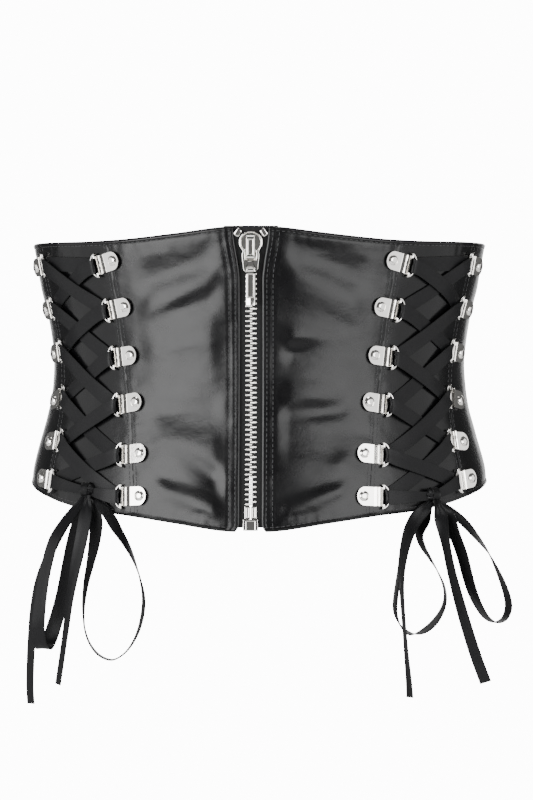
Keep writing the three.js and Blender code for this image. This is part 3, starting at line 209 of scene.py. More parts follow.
def outwards(turn, height):
    across = place(np.asarray(turn) + PROBE, height, 0) - place(np.asarray(turn) - PROBE, height, 0)
    up = place(turn, np.asarray(height) + PROBE, 0) - place(turn, np.asarray(height) - PROBE, 0)
    return unit(np.cross(across, up))


print("belt width at the top:", round(2 * float(place(90, TOP_SIDE, LEATHER_OUT)[0]) / MM), "mm")


# %% [markdown]
# Small helpers keep the modelling steps short. `deselect` comes before each new shape, because loading
# leaves the imported nodes selected. `grid_mesh` turns a grid of points into a mesh, for leather, tape and
# ribbon, and `thicken` gives it a wall. `copies` joins many copies of one shape, for stitches and teeth.
# `carry` says which body a piece rides on and which imported node it stands for.

# %% Modelling helpers
def deselect():
    if bpy.context.object and bpy.context.object.mode != "OBJECT":
        bpy.ops.object.mode_set(mode="OBJECT")
    bpy.ops.object.select_all(action="DESELECT")


def choose(piece):
    deselect()
    piece.select_set(True)
    bpy.context.view_layer.objects.active = piece
    return piece


def named(name):
    piece = bpy.context.object
    piece.name = name
    piece.data.name = name
    return piece


def rest_place(piece):
    """Moves a piece's place into its mesh, so that its object sits at the origin."""
    choose(piece)
    bpy.ops.object.transform_apply(location=True, rotation=True, scale=True)
    return piece


def apply_modifiers(piece):
    choose(piece)
    for modifier in list(piece.modifiers):
        bpy.ops.object.modifier_apply(modifier=modifier.name)
    return piece


def thicken(piece, thickness, offset=-1):
    """Gives a sheet a wall in millimetres: inwards, or to both sides with an offset of zero."""
    wall = piece.modifiers.new("wall", "SOLIDIFY")
    wall.thickness = thickness * MM
    wall.offset = offset
    return apply_modifiers(piece)


def rounded(piece, width, segments=2, angle=40):
    """Rounds the edges that turn more than an angle, by a width in millimetres."""
    bevel = piece.modifiers.new("rounded edges", "BEVEL")
    bevel.width = width * MM
    bevel.segments = segments
    bevel.limit_method = "ANGLE"
    bevel.angle_limit = math.radians(angle)
    bevel.harden_normals = False
    return apply_modifiers(piece)


def shade(piece, angle=40):
    choose(piece)
    bpy.ops.object.shade_smooth_by_angle(angle=math.radians(angle))
    return piece


def in_scene(name, mesh):
    piece = bpy.data.objects.new(name, mesh)
    bpy.context.scene.collection.objects.link(piece)
    return piece


def grid_mesh(name, points, uv):
    """A mesh of a grid of points, rows by columns, with a UV in metres."""
    rows, columns = points.shape[:2]
    index = np.arange(rows * columns).reshape(rows, columns)
    corners = (index[:-1, :-1], index[:-1, 1:], index[1:, 1:], index[1:, :-1])
    faces = np.stack(corners, axis=-1).reshape(-1, 4)
    mesh = bpy.data.meshes.new(name)
    mesh.from_pydata(points.reshape(-1, 3).tolist(), [], faces.tolist())
    layer = mesh.uv_layers.new(name="surface")
    layer.data.foreach_set("uv", uv.reshape(-1, 2)[faces.reshape(-1)].reshape(-1))
    mesh.polygons.foreach_set("use_smooth", [True] * len(mesh.polygons))
    return in_scene(name, mesh)


def copies(name, model, matrices):
    """One joined mesh of a modelled shape at many places."""
    points = np.array([v.co for v in model.data.vertices])
    faces = [tuple(p.vertices) for p in model.data.polygons]
    positions = np.concatenate([points @ m[:3, :3].T + m[:3, 3] for m in matrices])
    repeated = [tuple(v + i * len(points) for v in face) for i in range(len(matrices)) for face in faces]
    mesh = bpy.data.meshes.new(name)
    mesh.from_pydata(positions.tolist(), [], repeated)
    return shade(in_scene(name, mesh), 75)


def remove(piece):
    bpy.data.objects.remove(piece, do_unlink=True)


def carry(piece, body, node):
    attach(piece, body)
    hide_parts(node)
    return piece


def walked(points):
    """Distance from the first of a line of points to each of them."""
    return np.concatenate([[0], np.cumsum(np.linalg.norm(np.diff(points, axis=0), axis=1))])


def resampled(rows, along, at):
    """Rows of values, known along a line, read at other distances."""
    return np.stack([np.interp(at, along, column) for column in rows.T], axis=1)


print("helpers ready")


# %% [markdown]
# The camera stands where the photograph was taken from: level, a little below the waist, turned a few
# degrees to one side. Its focal length is worked out for an image of 533 by 800 pixels.

# %% Camera
FOCAL_PIXELS = 3641
IMAGE_TALL = 800
SENSOR = 36
CAMERA_TURN = math.radians(2.75)
CAMERA_DISTANCE = 2300 * MM
CAMERA_SIDE = 4.7 * MM
CAMERA_HEIGHT = -24 * MM

deselect()
ahead = Vector((-math.sin(CAMERA_TURN), math.cos(CAMERA_TURN), 0))
beside = Vector((math.cos(CAMERA_TURN), math.sin(CAMERA_TURN), 0))
camera_place = beside * CAMERA_SIDE - ahead * CAMERA_DISTANCE + Vector((0, 0, CAMERA_HEIGHT))
bpy.ops.object.camera_add(location=camera_place, rotation=(math.pi / 2, 0, CAMERA_TURN))
camera = bpy.context.object
camera.name = "photo_camera"
camera.data.sensor_width = SENSOR
camera.data.lens = FOCAL_PIXELS * SENSOR / IMAGE_TALL
camera.data.clip_end = 20
bpy.context.scene.camera = camera
print("camera at", [round(v, 3) for v in camera_place], "lens", round(camera.data.lens, 1), "mm")


# %% [markdown]
# The four loose ends of each ribbon are its bow: two loops and two tails that leave the knot and hang down.
# Each follows a given route, in millimetres to the side, out to the front and down from the knot's
# centre, with the way that its width points. They are made first, because the room that hanging ribbons
# take is settled before anything else.

# %% Routes of the bows
# Each row is a point: side, out, down and the turn of the ribbon's width.
BOW_ROUTES = {
    "left_bow_loop_outer": [
        (-1.8, 1.0, 3.2, 30), (-5.4, 3.6, 9.8, 32), (-12.4, 6.6, 18.8, 36), (-19.0, 8.6, 29.2, 40),
        (-23.1, 9.6, 42.6, 40), (-26.3, 9.6, 57.7, 38), (-28.4, 8.6, 73.0, 32), (-29.4, 6.4, 85.4, 24),
        (-28.6, 2.4, 93.6, 14), (-26.6, -2.2, 96.6, 6), (-24.0, -6.0, 92.2, -4), (-21.2, -7.8, 83.8, -18),
        (-17.9, -8.6, 72.6, -28), (-15.0, -8.4, 60.2, -34), (-12.4, -7.4, 46.6, -36),
        (-9.4, -5.6, 32.4, -36), (-5.4, -2.8, 18.4, -34), (-2.4, -1.0, 9.0, -30), (-1.2, -0.9, 3.6, -10),
    ],
    "left_bow_loop_inner": [
        (0.8, 1.6, 4.0, 20), (4.2, 5.4, 10.4, 22), (6.4, 7.4, 19.4, 28), (5.4, 8.0, 31.0, 38),
        (3.0, 7.6, 43.2, 55), (-0.2, 6.6, 57.4, 68), (-1.8, 5.6, 71.6, 78), (-1.0, 4.8, 84.0, 85),
        (2.2, 4.6, 93.4, 88), (7.9, 4.6, 100.2, 90), (15.4, 4.6, 103.0, 90), (22.0, 4.6, 100.1, 88),
        (27.7, 4.6, 93.5, 82), (32.4, 4.8, 83.2, 76), (34.9, 5.6, 71.7, 74), (35.0, 6.6, 62.3, 76),
        (33.1, 7.6, 52.8, 82), (29.8, 8.4, 42.4, 92), (25.2, 8.8, 32.7, 108), (19.6, 9.6, 23.5, 122),
        (14.4, 12.2, 14.6, 132), (9.0, 7.4, 8.2, 160), (4.0, -0.4, 3.6, 205),
    ],
    "left_bow_tail_outer": [
        (-1.6, -3.2, 3.4, 36), (-6.4, -4.4, 9.6, 40), (-14.6, -4.6, 21.6, 46), (-22.6, -5.4, 37.0, 50),
        (-30.0, -6.6, 55.4, 52), (-33.6, -7.4, 74.4, 54), (-35.0, -7.6, 92.0, 56),
        (-35.6, -7.6, 106.6, 57), (-35.8, -7.6, 120.4, 58), (-35.2, -7.6, 131.0, 58),
    ],
    "left_bow_tail_inner": [
        (0.6, 3.8, 3.0, 28), (0.6, 10.0, 11.4, 26), (-1.2, 13.6, 24.6, 30), (-4.2, 14.8, 39.4, 38),
        (-7.0, 15.0, 52.6, 48), (-9.4, 14.4, 66.2, 58), (-11.2, 13.6, 80.2, 64), (-12.9, 13.0, 92.6, 66),
        (-14.6, 12.8, 105.0, 66), (-16.4, 12.8, 117.6, 66),
    ],
    "right_bow_loop_inner": [
        (-1.8, 1.0, 3.4, -30), (-8.0, 5.8, 9.6, 10), (-14.4, 9.4, 19.6, 42), (-18.4, 10.8, 32.8, 64),
        (-20.2, 10.8, 43.8, 71), (-22.0, 10.4, 53.6, 74), (-23.2, 9.4, 62.2, 74), (-23.5, 8.2, 69.6, 76),
        (-21.7, 7.0, 76.1, 84), (-18.1, 6.2, 81.3, 98), (-13.2, 6.0, 84.0, 118), (-7.4, 6.6, 82.8, 130),
        (-1.3, 7.4, 78.5, 126), (3.5, 8.2, 72.3, 114), (6.3, 8.8, 65.9, 104), (7.0, 8.8, 59.8, 98),
        (5.7, 8.4, 53.0, 94), (2.0, 7.4, 44.8, 88), (-2.2, 6.2, 37.6, 78), (-6.5, 4.8, 30.4, 68),
        (-8.4, 3.6, 24.0, 60), (-6.8, 2.4, 17.0, 30), (-3.8, 0.4, 9.8, -25), (-1.4, -1.0, 3.6, -38),
    ],
    "right_bow_loop_outer": [
        (2.2, 0.6, 3.2, -30), (7.8, 8.2, 11.0, 8), (12.6, 11.8, 22.6, 42), (17.2, 13.2, 35.2, 44),
        (20.8, 13.2, 49.2, 47), (23.8, 12.4, 58.8, 51), (27.8, 11.4, 67.4, 57), (32.4, 9.8, 73.9, 63),
        (37.8, 8.0, 76.7, 67), (43.0, 6.2, 74.4, 66), (45.4, 5.0, 68.3, 64), (44.8, 4.2, 61.6, 65),
        (41.8, 3.6, 52.5, 70), (37.3, 3.0, 42.2, 80), (33.0, 2.4, 34.0, 92), (26.2, 1.4, 24.8, 112),
        (18.6, 0.2, 16.0, 130), (9.0, -1.6, 8.0, 140), (2.6, -2.0, 3.4, 142),
    ],
    "right_bow_tail_inner": [
        (-1.0, 3.0, 3.9, -30), (-6.8, 12.4, 9.6, 6), (-13.0, 18.4, 18.6, 38), (-17.0, 20.8, 29.6, 50),
        (-19.1, 21.4, 42.0, 64), (-19.4, 21.2, 54.2, 74), (-18.5, 20.8, 69.3, 78), (-17.3, 20.6, 83.3, 78),
        (-16.1, 20.6, 97.2, 75), (-14.8, 20.6, 111.1, 70), (-14.2, 20.6, 121.5, 66),
    ],
    "right_bow_tail_outer": [
        (2.0, 3.2, 3.0, -30), (4.6, 12.6, 13.0, 26), (7.2, 18.0, 27.0, 56), (10.4, 19.8, 43.6, 58),
        (15.2, 20.4, 62.4, 50), (20.8, 20.8, 81.4, 45), (26.2, 21.0, 97.8, 43), (31.6, 21.2, 112.2, 42),
    ],
}
KNOT_PLACES = {"left": (-43.8, -0.867), "right": (48.6, -0.915)}
KNOT_LIFT = 4.2
GATHERED = 0.36
GATHER_LENGTH = 16


def knot_centre(side):
    turn, level = KNOT_PLACES[side]
    return place(turn, height_of(turn, level), LEATHER_OUT + KNOT_LIFT)


# %% [markdown]
# A ribbon is a thin strip. Its sections are laid along the route every millimetre or so, each as wide as the
# ribbon and turned the way the table says. Near the knot the satin is gathered, so the sections get narrow
# and wave up and down in small pleats. Elsewhere a faint curl keeps the strip from looking like tin.

# %% Ribbon strips
RIBBON_STEP = 1.3
RIBBON_ACROSS = 8
SATIN = RIBBON * 0.9
PLEATS = 1.5
CURL_MIDDLE = 0.35
PLEAT_DEPTH = 0.5
CURL_DEPTH = 0.25
CURL_WAVE = 17


def route_line(rows, step):
    """Evenly spaced centres in millimetres and turns along a route."""
    rows = np.array(rows, float)
    spans = np.linalg.norm(np.diff(rows[:, :3], axis=0), axis=1)
    along = np.concatenate([[0], np.cumsum(np.sqrt(spans))])
    fine = np.linspace(0, along[-1], 600)
    line = np.stack([read_values(along, column, fine) for column in rows.T], axis=1)
    done = walked(line[:, :3])
    even = resampled(line, done, np.linspace(0, done[-1], int(done[-1] / step) + 1))
    return even[:, :3], even[:, 3], done[-1]


def strip(name, centres, wides, halves, pleats, curls):
    """A ribbon in metres through centres, with its width's direction, half width, pleat and curl in mm."""
    along = unit(np.gradient(centres, axis=0))
    wides = unit(wides - along * np.sum(wides * along, axis=1, keepdims=True))
    normals = np.cross(along, wides)
    across = np.linspace(-1, 1, RIBBON_ACROSS + 1)
    wave = np.sin(across * math.pi * PLEATS)
    lift = pleats[:, None] * wave + curls[:, None] * (across ** 2 - CURL_MIDDLE)
    points = centres[:, None] + wides[:, None] * (across * halves[:, None])[..., None] * MM
    points = points + normals[:, None] * lift[..., None] * MM
    uv = np.stack(np.broadcast_arrays(across * RIBBON_WIDTH / 2 * MM, walked(centres)[:, None]), axis=-1)
    return shade(thicken(grid_mesh(name, points, uv), SATIN, 0), 50)


def bow_strip(name):
    side = name.split("_")[0]
    centres, turns, length = route_line(BOW_ROUTES[name], RIBBON_STEP)
    points = knot_centre(side) + centres * np.array([1, -1, -1]) * MM
    angle = np.radians(turns)
    wides = np.stack([np.cos(angle), -np.sin(angle), np.zeros_like(angle)], axis=1)
    done = np.linspace(0, length, len(points))
    is_loop = "loop" in name
    nearest = np.minimum(done, length - done) if is_loop else done
    open_share = smooth(nearest / GATHER_LENGTH)
    halves = RIBBON_WIDTH / 2 * mix(GATHERED, 1, open_share)
    pleats = PLEAT_DEPTH * (1 - open_share) + 0.05
    curls = CURL_DEPTH * open_share * np.sin(done / CURL_WAVE + len(name))
    piece = carry(strip(f"satin_{name}", points, wides, halves, pleats, curls), "belt", name)
    print(name, "is", round(length), "mm long")
    return piece


bow_strips = [bow_strip(name) for name in BOW_ROUTES]


# %% [markdown]
# The belt is held at waist height, so the pale floor lies a metre below it. Black leather shows little but
# the reflections of the room. Large soft boxes stand where a product studio puts them: two broad ones beside
# the camera, a dimmer pair at the sides, one overhead and one behind. The room between them is dim for
# reflections, while the camera sees the clean white paper that such a picture is taken against.

# %% Stage and light
FLOOR_HEIGHT = -1.0
FLOOR_RADIUS = 2.6
FLOOR_LIP = 0.02

deselect()
bpy.ops.mesh.primitive_circle_add(vertices=96, radius=FLOOR_RADIUS, fill_type="NGON",
                                  location=(0, 0, FLOOR_HEIGHT))
floor = rest_place(named("studio_floor"))
bpy.ops.object.mode_set(mode="EDIT")
bpy.ops.mesh.select_all(action="SELECT")
bpy.ops.mesh.extrude_region_move(TRANSFORM_OT_translate={"value": (0, 0, -FLOOR_LIP)})
bpy.ops.mesh.select_all(action="SELECT")
bpy.ops.mesh.normals_make_consistent(inside=False)
bpy.ops.object.mode_set(mode="OBJECT")

SoftBox = namedtuple("SoftBox", "name place size power")
SOFT_BOXES = [
    SoftBox("left_box", (-1.3, -1.81, 0.12), (1.7, 1.25), 74),
    SoftBox("right_box", (1.3, -1.81, 0.12), (1.6, 1.25), 42),
    SoftBox("left_side", (-2.1, -0.35, 0.1), (1.9, 1.8), 18),
    SoftBox("right_side", (2.1, -0.35, 0.1), (1.9, 1.8), 18),
    SoftBox("overhead", (0, -0.3, 2.1), (1.8, 1.0), 34),
    SoftBox("behind", (0, 2.4, 0.6), (2.6, 1.8), 30),
]
for box in SOFT_BOXES:
    deselect()
    towards_belt = (-Vector(box.place)).to_track_quat("-Z", "Y").to_euler()
    bpy.ops.object.light_add(type="AREA", location=box.place, rotation=towards_belt)
    light = bpy.context.object
    light.name = box.name
    light.data.shape = "RECTANGLE"
    light.data.size, light.data.size_y = box.size
    light.data.energy = box.power

PAPER_WHITE = 13.0
ROOM_GREY = 0.15
world = bpy.data.worlds.new("studio")
bpy.context.scene.world = world
world.use_nodes = True
sky = world.node_tree
rays = sky.nodes.new("ShaderNodeLightPath")
level = sky.nodes.new("ShaderNodeMix")
level.inputs[2].default_value = ROOM_GREY
level.inputs[3].default_value = PAPER_WHITE
sky.links.new(rays.outputs["Is Camera Ray"], level.inputs[0])
sky.links.new(level.outputs[0], sky.nodes["Background"].inputs["Strength"])
sky.nodes["Background"].inputs["Color"].default_value = (1, 1, 1, 1)
print("stage and", len(SOFT_BOXES), "soft boxes")


# %% [markdown]
# Every finish is a node material. One function turns an sRGB hex colour to the linear values that shaders
# use, and one adds a node with its settings and links, where the stops of a colour ramp are a setting too.
# Patterns are sized in millimetres of the real thing.

# %% Material helpers
def linear(hex_colour):
    parts = [int(hex_colour[i:i + 2], 16) / 255 for i in (1, 3, 5)]
    return tuple(p / 12.92 if p <= 0.04045 else ((p + 0.055) / 1.055) ** 2.4 for p in parts) + (1.0,)


def add_node(material, kind, settings=None, links=None):
    node = material.node_tree.nodes.new(f"ShaderNode{kind}")
    for name, value in (settings or {}).items():
        if name == "stops":
            for stop, (position, colour) in zip(node.color_ramp.elements, value):
                stop.position = position
                stop.color = linear(colour)
        elif isinstance(name, int) or name in node.inputs:
            node.inputs[name].default_value = value
        else:
            setattr(node, name, value)
    for name, source in (links or {}).items():
        material.node_tree.links.new(source, node.inputs[name])
    return node


def new_material(name, **sockets):
    material = bpy.data.materials.new(name)
    material.use_nodes = True
    shader = material.node_tree.nodes["Principled BSDF"]
    for socket, value in sockets.items():
        shader.inputs[socket.replace("_", " ")].default_value = value
    return material, shader


def into(material, shader, links):
    """Joins nodes to the sockets of a shader."""
    for name, source in links.items():
        material.node_tree.links.new(source, shader.inputs[name])


def scale_of(size_mm):
    """Texture scale that repeats once in a size given in millimetres."""
    return 1 / (size_mm * MM)


def finish(piece, material):
    piece.data.materials.clear()
    piece.data.materials.append(material)
    return piece


# %% [markdown]
# The panels are coated leather: a fabric-backed sheet with a thin black polyurethane skin. It is embossed
# with a fine pebble, and wearing presses soft creases into it. The skin is glossy but not even, so the
# roughness drifts, and a thin coat adds the sharper edge of the highlights.

# %% Coated leather
PEBBLE = 0.85
CREASE = 11.0
GLOSS_DRIFT = 24.0

leather, shader = new_material("coated_leather_black", Roughness=0.34, Specular_IOR_Level=0.2,
                               Coat_Weight=0.08, Coat_Roughness=0.2)
where = add_node(leather, "TexCoord").outputs["Object"]
pebble = add_node(leather, "TexVoronoi", {"feature": "SMOOTH_F1", "Scale": scale_of(PEBBLE)},
                  {"Vector": where})
wide = add_node(leather, "Mapping", {"Scale": (0.8, 0.8, 1.1)}, {"Vector": where})
crease = add_node(leather, "TexNoise", {"Scale": scale_of(CREASE), "Detail": 5.0, "Roughness": 0.55},
                  {"Vector": wide.outputs["Vector"]})
drift = add_node(leather, "TexNoise", {"Scale": scale_of(GLOSS_DRIFT), "Detail": 3.0}, {"Vector": where})
gloss = add_node(leather, "MapRange", {"From Min": 0.3, "From Max": 0.7, "To Min": 0.22, "To Max": 0.32},
                 {"Value": drift.outputs["Fac"]})
tone = add_node(leather, "ValToRGB", {"stops": [(0.35, "#050506"), (0.7, "#09090a")]},
                {"Fac": crease.outputs["Fac"]})
fine = add_node(leather, "Bump", {"Strength": 0.35, "Distance": 0.05 * MM},
                {"Height": pebble.outputs["Distance"]})
soft = add_node(leather, "Bump", {"Strength": 0.35, "Distance": 0.7 * MM},
                {"Height": crease.outputs["Fac"], "Normal": fine.outputs["Normal"]})
into(leather, shader, {"Base Color": tone.outputs["Color"], "Roughness": gloss.outputs["Result"],
                       "Normal": soft.outputs["Normal"]})
print("coated leather, pebble", PEBBLE, "mm")


# %% [markdown]
# The ribbon is polyester satin. Its face is long floats of thread along the ribbon, so it shines in bands
# across it, and its two edges are bound by a plain selvedge. The strip's own UV map is in metres: across
# the ribbon and along it.

# %% Satin
FLOAT_THREAD = 0.5
FLOAT_LENGTH = 7
SELVEDGE = 0.5

satin, shader = new_material("polyester_satin_black", Roughness=0.42, Anisotropic=0.5,
                             Specular_IOR_Level=0.17, Sheen_Weight=0.03, Sheen_Roughness=0.4)
strip_uv = add_node(satin, "UVMap", {"uv_map": "surface"}).outputs["UV"]
thread_scale = (scale_of(FLOAT_THREAD), scale_of(FLOAT_THREAD * FLOAT_LENGTH), 1)
thread_space = add_node(satin, "Mapping", {"Scale": thread_scale}, {"Vector": strip_uv})
threads = add_node(satin, "TexNoise", {"Scale": 1.0, "Detail": 3.0},
                   {"Vector": thread_space.outputs["Vector"]})
split = add_node(satin, "SeparateXYZ", {}, {"Vector": strip_uv})
from_middle = add_node(satin, "Math", {"operation": "ABSOLUTE"}, {0: split.outputs["X"]})
half_ribbon = RIBBON_WIDTH / 2
edge = add_node(satin, "MapRange", {"From Min": (half_ribbon - SELVEDGE) * MM, "From Max": half_ribbon * MM},
                {"Value": from_middle.outputs["Value"]})
body_tone = add_node(satin, "ValToRGB", {"stops": [(0.3, "#08080a"), (0.75, "#0e0e0f")]},
                     {"Fac": threads.outputs["Fac"]})
with_edge = add_node(satin, "Mix", {"data_type": "RGBA", 7: linear("#060607")},
                     {0: edge.outputs["Result"], 6: body_tone.outputs["Color"]})
thread_bump = add_node(satin, "Bump", {"Strength": 0.3, "Distance": 0.08 * MM},
                       {"Height": threads.outputs["Fac"]})
tangent = add_node(satin, "Tangent", {"direction_type": "UV_MAP", "uv_map": "surface"})
into(satin, shader, {"Base Color": with_edge.outputs[2], "Normal": thread_bump.outputs["Normal"],
                     "Tangent": tangent.outputs["Tangent"]})
for piece in bow_strips:
    finish(piece, satin)
print("satin, threads", FLOAT_THREAD, "mm")


# %% [markdown]
# The metal is bright nickel plating on pressed steel and die-cast zinc. It mirrors the room, a little
# softened by handling, so its roughness is low and drifts slightly.

# %% Nickel
SMUDGE = 3.0

nickel, shader = new_material("bright_nickel_plating", Metallic=1.0, Roughness=0.08,
                              Base_Color=linear("#eceae6"))
where = add_node(nickel, "TexCoord").outputs["Object"]
smudge = add_node(nickel, "TexNoise", {"Scale": scale_of(SMUDGE), "Detail": 4.0}, {"Vector": where})
polish = add_node(nickel, "MapRange", {"From Min": 0.3, "From Max": 0.7, "To Min": 0.06, "To Max": 0.11},
                  {"Value": smudge.outputs["Fac"]})
ripple = add_node(nickel, "Bump", {"Strength": 0.15, "Distance": 0.06 * MM},
                  {"Height": smudge.outputs["Fac"]})
into(nickel, shader, {"Roughness": polish.outputs["Result"], "Normal": ripple.outputs["Normal"]})

# %% [markdown]
# The zip's tape is woven polyester: matt, nearly black, in a fine twill that slants across it. The sewing
# thread is the same fibre, twisted and a little brighter.

# %% Woven tape and thread
TWILL = 0.7
TWILL_SLANT = 35

woven, shader = new_material("woven_polyester_black", Roughness=0.82, Specular_IOR_Level=0.3,
                             Sheen_Weight=0.06)
tape_uv = add_node(woven, "UVMap", {"uv_map": "surface"}).outputs["UV"]
slant = add_node(woven, "Mapping", {"Rotation": (0, 0, math.radians(TWILL_SLANT))}, {"Vector": tape_uv})
twill = add_node(woven, "TexWave", {"Scale": scale_of(TWILL) / math.pi, "Distortion": 1.5, "Detail": 1.0},
                 {"Vector": slant.outputs["Vector"]})
weave_tone = add_node(woven, "ValToRGB", {"stops": [(0, "#060607"), (1, "#121213")]},
                      {"Fac": twill.outputs["Fac"]})
weave_bump = add_node(woven, "Bump", {"Strength": 0.6, "Distance": 0.12 * MM},
                      {"Height": twill.outputs["Fac"]})
into(woven, shader, {"Base Color": weave_tone.outputs["Color"], "Normal": weave_bump.outputs["Normal"]})

thread, shader = new_material("sewing_thread_black", Roughness=0.55, Base_Color=linear("#222224"),
                              Sheen_Weight=0.12)
print("materials:", len(bpy.data.materials))


# %% [markdown]
# A panel is a sheet of leather between two edge lines. Its outer face is a fine grid on the belt's surface.
# The lift of each point adds what wear and sewing do: broad soft folds from a short table, the turned hems
# at the top and bottom, the dip along each seam, and small puckers where a stitch line draws the leather in.

# %% Folds of the front panels
ZIP_HALF_OPENING = 6.8
ZIP_FLARE = 4.0
ZIP_FLARE_TALL = 34.0
EDGE_ROUNDING = 5.0

Fold = namedtuple("Fold", "side across level length width lean depth")
FOLDS = [
    Fold(-1, 0.62, 0.67, 0.8, 0.13, -14, -0.5), Fold(-1, 0.48, 0.52, 0.6, 0.12, -18, 0.4),
    Fold(-1, 0.24, 0.47, 0.4, 0.11, -24, -0.4), Fold(-1, 0.5, 0.12, 0.6, 0.3, -8, 0.3),
    Fold(-1, 0.5, -0.3, 0.6, 0.11, -4, -0.25), Fold(-1, 0.55, -0.52, 0.45, 0.15, 6, 0.35),
    Fold(-1, 0.26, -0.67, 0.32, 0.1, 26, -0.5), Fold(-1, 0.72, -0.72, 0.25, 0.1, 4, -0.35),
    Fold(-1, 0.38, -0.85, 0.5, 0.09, 13, 0.42),
    Fold(1, 0.66, 0.7, 0.6, 0.15, -17, -0.55), Fold(1, 0.55, 0.5, 0.6, 0.16, -24, 0.35),
    Fold(1, 0.22, 0.18, 0.16, 0.08, 5, 0.35), Fold(1, 0.26, 0.05, 0.25, 0.1, 0, -0.4),
    Fold(1, 0.3, -0.19, 0.35, 0.11, 4, 0.3), Fold(1, 0.55, -0.31, 0.6, 0.09, 3, -0.42),
    Fold(1, 0.28, -0.46, 0.35, 0.15, 0, -0.25), Fold(1, 0.55, -0.83, 0.55, 0.08, 13, 0.48),
    Fold(1, 0.74, -0.64, 0.16, 0.09, 10, 0.35),
]
PANEL_WIDTH = 70.0
FOLD_STRENGTH = 1.55 * LEATHER


def fold_lift(side, across, level):
    beside_zip, beside_seam = smooth((across - 0.11) / 0.13), smooth((0.84 - across) / 0.18)
    clear = beside_zip * beside_seam * smooth((1 - np.abs(level)) / 0.12)
    lift = np.zeros_like(across)
    for fold in FOLDS:
        if fold.side != side:
            continue
        dx = (across - fold.across) * PANEL_WIDTH
        dz = height_of(20, level) - height_of(20, fold.level)
        lean = math.radians(fold.lean)
        along = (dx * math.cos(lean) + dz * math.sin(lean)) / (fold.length * PANEL_WIDTH)
        beside = (dz * math.cos(lean) - dx * math.sin(lean)) / (fold.width * PANEL_WIDTH)
        lift += fold.depth * FOLD_STRENGTH * np.exp(-along ** 2 - beside ** 2)
    return lift * clear


# %% [markdown]
# Puckers and small wrinkles come from smooth noise that is always the same. Lattice noise with a fixed
# seed is drawn once, and each use stretches it: short across a stitch line and long along the other way.

# %% Smooth noise
NOISE_CELLS = 64
lattice = np.random.default_rng(7).uniform(-1, 1, (NOISE_CELLS, NOISE_CELLS))


def noise(x, y):
    """Smooth values from about -1 to 1 that repeat every 64 cells."""
    x0, y0 = np.floor(x).astype(int), np.floor(y).astype(int)
    fx, fy = smooth(x - x0), smooth(y - y0)

    def at(i, j):
        return lattice[(x0 + i) % NOISE_CELLS, (y0 + j) % NOISE_CELLS]
    return mix(mix(at(0, 0), at(1, 0), fx), mix(at(0, 1), at(1, 1), fx), fy)


def wrinkles(x, y, size):
    fine = 0.5 * noise(x / size * 2.1 + 9, y / size * 2.1 + 4)
    finest = 0.2 * noise(x / size * 4.3 + 21, y / size * 4.3 + 17)
    return noise(x / size, y / size) + fine + finest


# %% [markdown]
# Each sewn edge has the same section: the leather rolls over at the edge, stands up a little over the folded
# allowance, dips at the stitch line and comes back to the surface. Puckers run away from that line.

# %% Section of a sewn edge
STITCH_IN = 2.6
SECOND_ROW = 6.2
ROLL_WIDTH = 0.9
STITCH_DIP, DIP_WIDTH = 0.28, 0.55
PUCKER_REACH, PUCKER_PITCH = 4.2, 3.1
VALLEY, VALLEY_WIDTH = 0.1, 1.6
SEAM_DIP, SEAM_DIP_WIDTH = 0.08, 0.6


def sewn(distance, along, raised, rolled, pucker, seed):
    """Lift in millimetres at a distance in from an edge, with puckers that vary along it."""
    roll = -rolled * (1 - smooth(distance / ROLL_WIDTH)) ** 2
    allowance = raised * smooth(distance / 0.8) * (1 - smooth((distance - STITCH_IN + 0.7) / 1.2))
    dip = -STITCH_DIP * np.exp(-((distance - STITCH_IN) / DIP_WIDTH) ** 2)
    fade = np.exp(-((distance - STITCH_IN - 2.2) / PUCKER_REACH) ** 2)
    waves = noise(along / PUCKER_PITCH + seed, distance / 14 + seed)
    waves = waves + 0.6 * noise(along / 1.7 + 3 * seed, distance / 9)
    return roll + allowance + dip + pucker * waves * fade


def seamed(distance, along, pucker, seed):
    """Lift in millimetres beside a seam between two panels: a shallow valley with puckers."""
    valley = -VALLEY * np.exp(-(distance / VALLEY_WIDTH) ** 2)
    dip = -SEAM_DIP * np.exp(-((distance - STITCH_IN) / SEAM_DIP_WIDTH) ** 2)
    fade = np.exp(-((distance - 2.4) / 4.0) ** 2)
    return valley + dip + pucker * noise(along / 3.4 + seed, distance / 12 + seed) * fade


def zip_half_opening(level):
    height = height_of(0, level)
    flare = smooth(1 - (TOP_FRONT - height) / ZIP_FLARE_TALL)
    foot = np.maximum(0, 1 - (height + DROP_FRONT) / EDGE_ROUNDING)
    return ZIP_HALF_OPENING + ZIP_FLARE * flare + EDGE_ROUNDING * 0.5 * foot ** 2


def seam_line(side, column, clearance):
    def line(level):
        turn = read(SEAMS, "level", column, level)
        return side * turn_after(turn, height_of(turn, level), clearance)
    return line


def zip_line(side):
    return lambda level: side * turn_after(0.0, height_of(0, level), zip_half_opening(level))


# %% [markdown]
# One class holds what the five panels share. `surface` gives points of the finished outer face, so the
# stitches made later lie on the same leather, and `lines` lists where each panel is topstitched.

# %% Leather panels
FINE_ROWS = 150
LEATHER_EDGE = 0.45
HEM_RAISED, HEM_ROLLED = 0.35, 0.5
ZIP_HEM_RAISED, ZIP_HEM_ROLLED = 0.1, 0.2
PUCKER, SOFT_PUCKER = 0.16, 0.14
SECOND_DIP, SECOND_DIP_WIDTH = 0.2, 0.6
CALM_EDGE = 9


